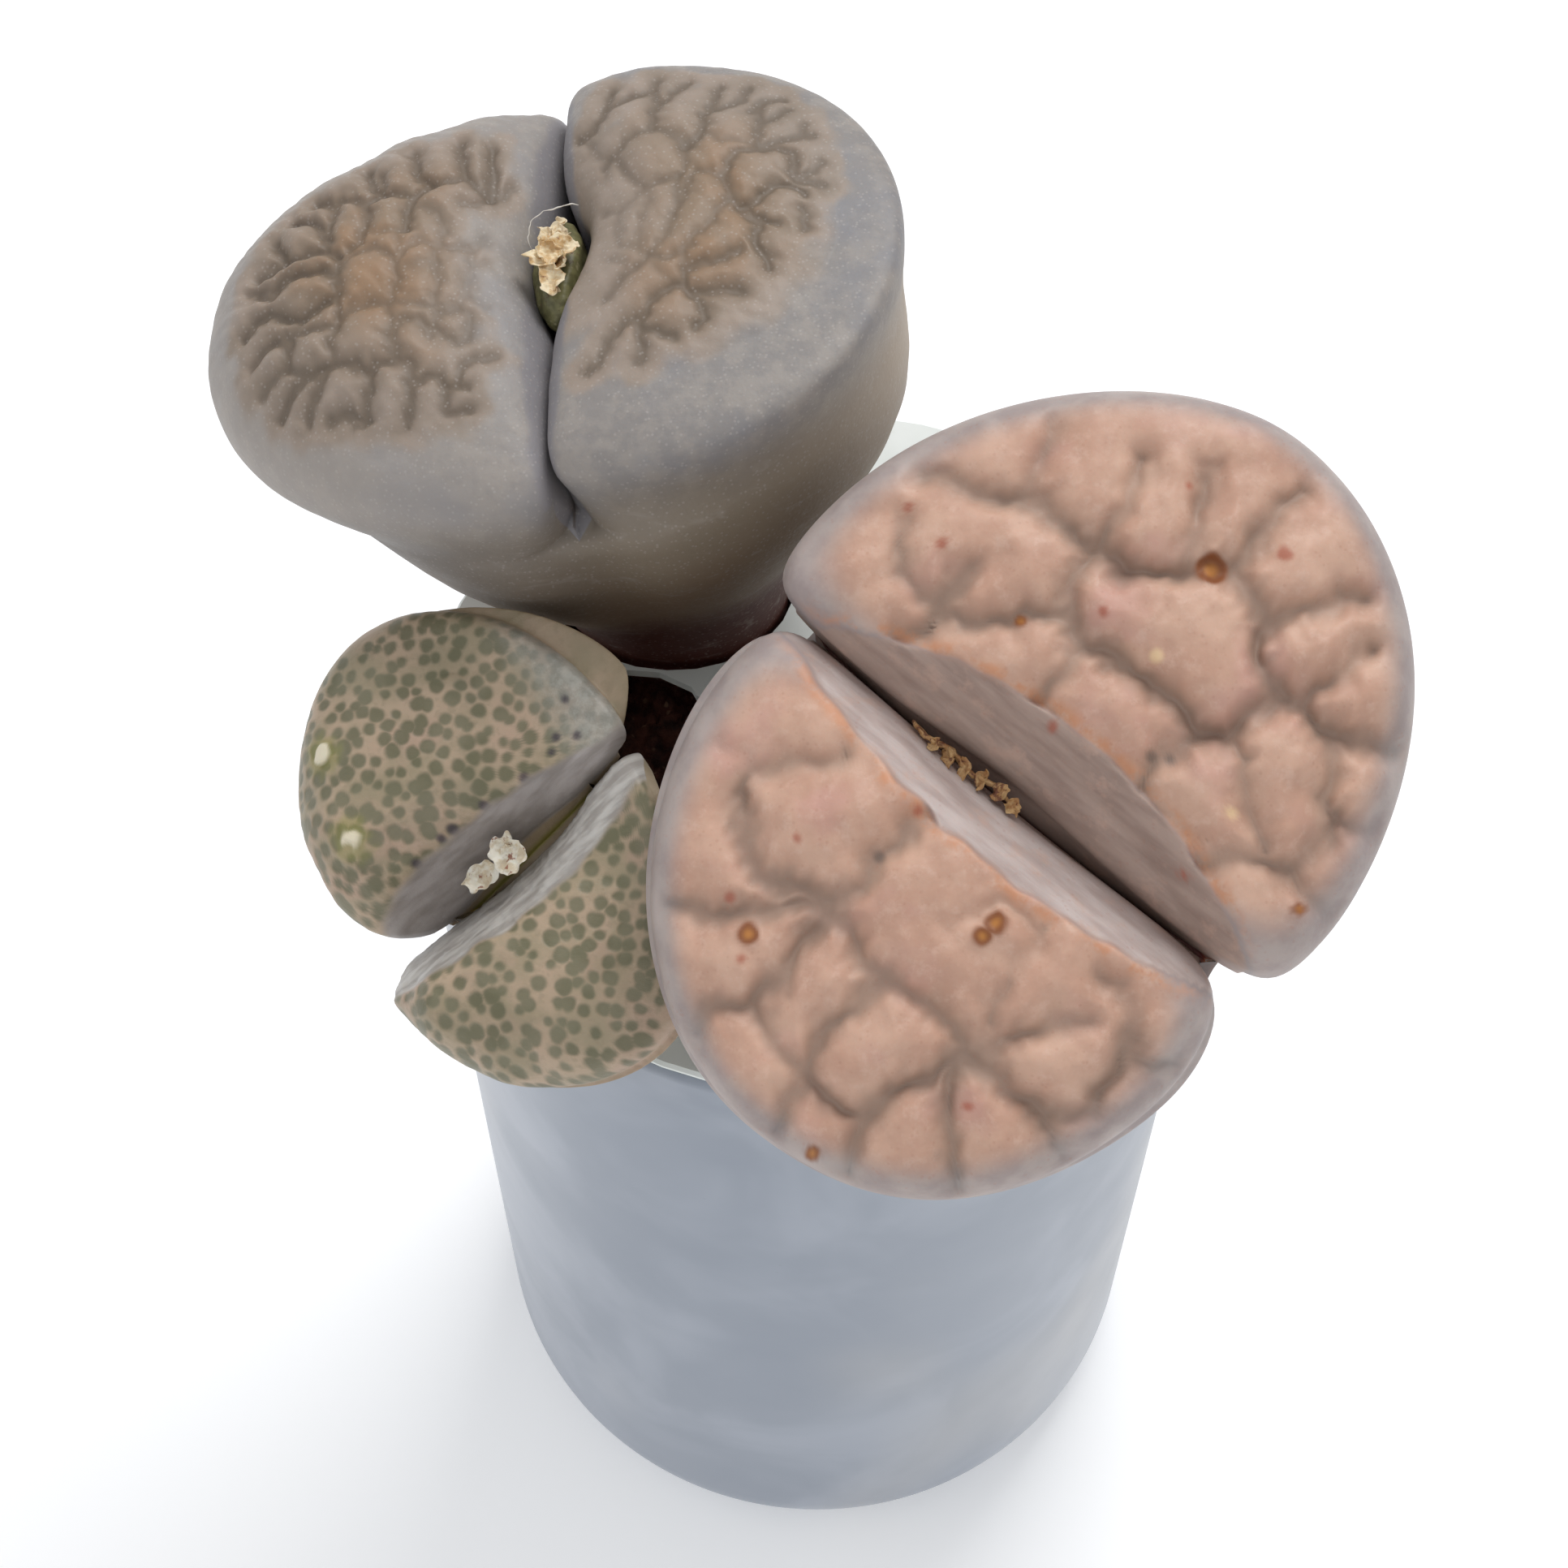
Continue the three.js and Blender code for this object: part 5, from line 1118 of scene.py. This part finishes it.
# A strip with rounded edges along a smooth line through a few points
def strip(path, thick, tall, wave, rows=120, columns=14):
    path = np.array(path, float)
    stops = np.linspace(0, 1, len(path))
    t = np.linspace(0, 1, rows)
    way = np.stack([np.interp(t, stops, path[:, k]) for k in range(3)], -1)
    soft = np.hanning(rows // len(path) * 2 + 1)
    soft = soft / soft.sum()
    pad = len(soft) // 2
    way = np.stack([np.convolve(np.pad(way[:, k], pad, "edge"), soft, "valid") for k in range(3)], -1)
    slope = np.gradient(way, axis=0)
    flank = unit(np.stack([-slope[:, 1], slope[:, 0], 0 * t], -1))
    end = np.sqrt(np.maximum(0.02, 1 - (2 * t - 1) ** 6))
    angle = (np.arange(columns) / columns * 2 * np.pi)[None, :, None]
    high = (tall * end * (1 + wave * np.sin(9 * t * np.pi)))[:, None, None] * [0, 0, 1]
    wide = (thick * end)[:, None, None] * flank[:, None]
    rings = way[:, None] + wide * np.cos(angle) + high * np.sin(angle)
    rings = rings + 0.04 * np.stack([waves(rings, 0.5, 50 + k) for k in range(3)], -1)
    return closedRings(rings, rings[0].mean(0), rings[-1].mean(0))


# Dry petals: colour by noise from pale over tan to a brown stain
def dryFinish(name, pale, tan, brown, stain):
    f = Finish(name, Subsurface_Weight=0.15, Subsurface_Radius=(1, 0.7, 0.4), Subsurface_Scale=0.0004)
    base = f.lay(f.mix(f.patches(0.42, 0.62, 0.7, 4, 0.6), pale, tan),
                 (f.patches(stain, stain + 0.1, 0.55, 3, 0.6, (1, 1.3, 1)) * 0.85, brown))
    fibre = f.bump(f.noise(0.18, 3), 0.5, 0.05)
    return f.set(Base_Color=base, Roughness=0.55 + f.noise(0.5) * 0.25, Normal=fibre)


# The petals' values in order: centre, half sizes, turn, tilt, cup, ruffle, folds and seed
flowers = {
    "back": [((-0.35, -0.3, -1.3), (1.35, 1.05), 10, (0, 0), 0.5, 0.2, 3, 1),
             ((-0.95, 0.3, -1.15), (0.55, 0.95), 25, (10, 50), 0.3, 0.16, 2, 2),
             ((0.35, -0.5, -1.2), (0.5, 1.0), -15, (0, -50), 0.35, 0.16, 3, 3),
             ((-0.25, 1.25, -1.5), (0.8, 0.95), 0, (-15, 5), 0.3, 0.18, 4, 4),
             ((-0.35, -1.7, -1.45), (0.95, 1.05), 30, (10, 0), 0.32, 0.2, 4, 5),
             ((-0.5, -2.75, -1.7), (0.45, 0.8), 5, (15, 15), 0.2, 0.14, 3, 6),
             ((-0.1, -2.4, -1.65), (0.3, 0.7), -20, (5, -25), 0.2, 0.12, 3, 7),
             ((-0.35, 1.8, -1.9), (0.28, 0.42), 40, (-20, 0), 0.15, 0.1, 3, 8)],
    "left": [((0.05, -1.6, -3.1), (0.8, 1.1), 10, (0, 15), 0.5, 0.12, 2, 31),
             ((-0.15, -2.3, -3.5), (0.3, 0.4), 60, (0, 20), 0.15, 0.08, 3, 32),
             ((0.3, 0.45, -3.0), (1.05, 1.2), 0, (0, -5), 0.6, 0.14, 3, 33),
             ((0.15, 0.6, -3.1), (0.5, 0.6), 30, (20, 25), 0.25, 0.1, 3, 34)],
    "right": [((0.75 + 0.15 * math.sin(5 * k), 0.4 - 1.05 * k, -3.9), (0.38, 0.6), 40 * k, (12 * k, 20),
               0.2, 0.14, 3, 20 + k, 40, 12) for k in range(6)],
    "rightStrip": [(0.5, -6.8, -4.4), (0.9, -5.4, -4.2), (0.4, -4, -4.3), (0.95, -2.6, -4.1),
                   (0.45, -1.2, -4.3), (0.8, 0.2, -4.2)],
    "hair": [(-1.9, -3.3, -0.5), (-1.2, -3.1, -0.3), (-0.4, -3.0, -0.4), (0.3, -2.9, -0.5),
             (0.95, -2.5, -0.8), (1.2, -1.9, -1.2), (1.0, -1.3, -1.8)],
}


def makeFlowers():
    back, left, right = ([petal(*values) for values in flowers[key]] for key in ("back", "left", "right"))
    right.insert(0, strip(flowers["rightStrip"], 0.16, 0.4, 0.25))
    cream = dryFinish("dry cream petals", (236, 218, 184), (203, 168, 120), (126, 74, 44), 0.60)
    cleftPiece("dried_flower_back_fine", backHead, back, cream, "dried_petals", "dried_flower_back")
    tan = dryFinish("dry tan crumbs", (196, 160, 112), (160, 116, 72), (96, 50, 34), 0.52)
    cleftPiece("dried_flower_right_fine", rightHead, right, tan, "dried_petals", "dried_flower_right")
    white = dryFinish("dry white petals", (236, 230, 214), (208, 192, 166), (134, 70, 44), 0.58)
    cleftPiece("dried_flower_left_fine", leftHead, left, white, "dried_petals_pale", "dried_flower_left")
    f = Finish("white hair")
    silk = f.mix(f.noise(0.4), (236, 232, 224), (206, 198, 186))
    f.set(Base_Color=silk, Roughness=0.4 + f.noise(0.3) * 0.2)
    hair = strip(flowers["hair"], 0.035, 0.035, 0)
    cleftPiece("white_hair", backHead, [hair], f.material, "dried_petals_pale")
    print("flowers made")


makePot()
makeSoil()
finishCover()
makeCapsule()
makeFlowers()
dress(makeHead("pink_head", rightHead, pinkRelief), pinkSkin(), "skin_pink", "lithops_right")
dress(makeHead("grey_head", backHead, greyRelief), greySkin(), "skin_grey", "lithops_back")
dress(makeHead("olive_head", leftHead, dottedRelief), oliveSkin(), "skin_olive", "lithops_left")
print("heads made")


# Floor, light and camera

stage = {"floor": 3, "floorGlow": 0.2, "floorColour": (0.96, 0.96, 0.96, 1), "sky": (0.95, 0.97, 1.0, 1),
         "skyPower": 0.56, "aim": (0, 0, 0.085),
         "lamps": [("key", (0.10, 0.22, 0.44), 0.20, 1.05), ("fill", (-0.40, 0.0, 0.32), 0.35, 0.2),
                   ("front", (0.03, -0.45, 0.30), 0.30, 0.3)]}


def makeStage():
    mesh = bpy.data.meshes.new("floor")
    w = stage["floor"]
    mesh.from_pydata([(-w, -w, 0), (w, -w, 0), (w, w, 0), (-w, w, 0)], [], [(0, 1, 2, 3)])
    floor = newObject("floor", mesh)
    f = Finish("pale floor", Roughness=0.9, Emission_Color=(1, 1, 1, 1),
               Emission_Strength=stage["floorGlow"])
    mesh.materials.append(f.set(Base_Color=stage["floorColour"]))
    world = bpy.data.worlds.new("soft studio")
    world.use_nodes = True
    sky = world.node_tree.nodes["Background"].inputs
    sky["Color"].default_value = stage["sky"]
    sky["Strength"].default_value = stage["skyPower"]
    bpy.context.scene.world = world

    # Each lamp: its name, place, size and power; it looks at the aim
    for name, place, size, power in stage["lamps"]:
        light = bpy.data.lights.new(name, "AREA")
        light.size, light.energy = size, power
        lamp = newObject(name, light)
        lamp.location = place
        away = np.array(place) - stage["aim"]
        flat = math.hypot(away[0], away[1])
        lamp.rotation_euler = (math.atan2(flat, away[2]), 0, math.atan2(away[0], -away[1]))


# The photograph's view: focal length in pixels of a 1932 pixel square picture, and the downward pitch
view = {"place": (-0.002625, -0.094075, 0.217025), "pitch": 57.21, "focus": 3400.0, "picture": 1932.0}


def makeCamera():
    data = bpy.data.cameras.new("camera")
    data.sensor_width = 36.0
    data.lens = data.sensor_width * view["focus"] / view["picture"]
    data.clip_start, data.clip_end = 0.01, 10.0
    camera = newObject("camera", data)
    camera.location = view["place"]
    camera.rotation_euler = (math.radians(90 - view["pitch"]), 0, 0)
    bpy.context.scene.camera = camera
    bpy.context.scene.view_settings.view_transform = "Standard"


makeStage()
makeCamera()
print("stage and camera made")
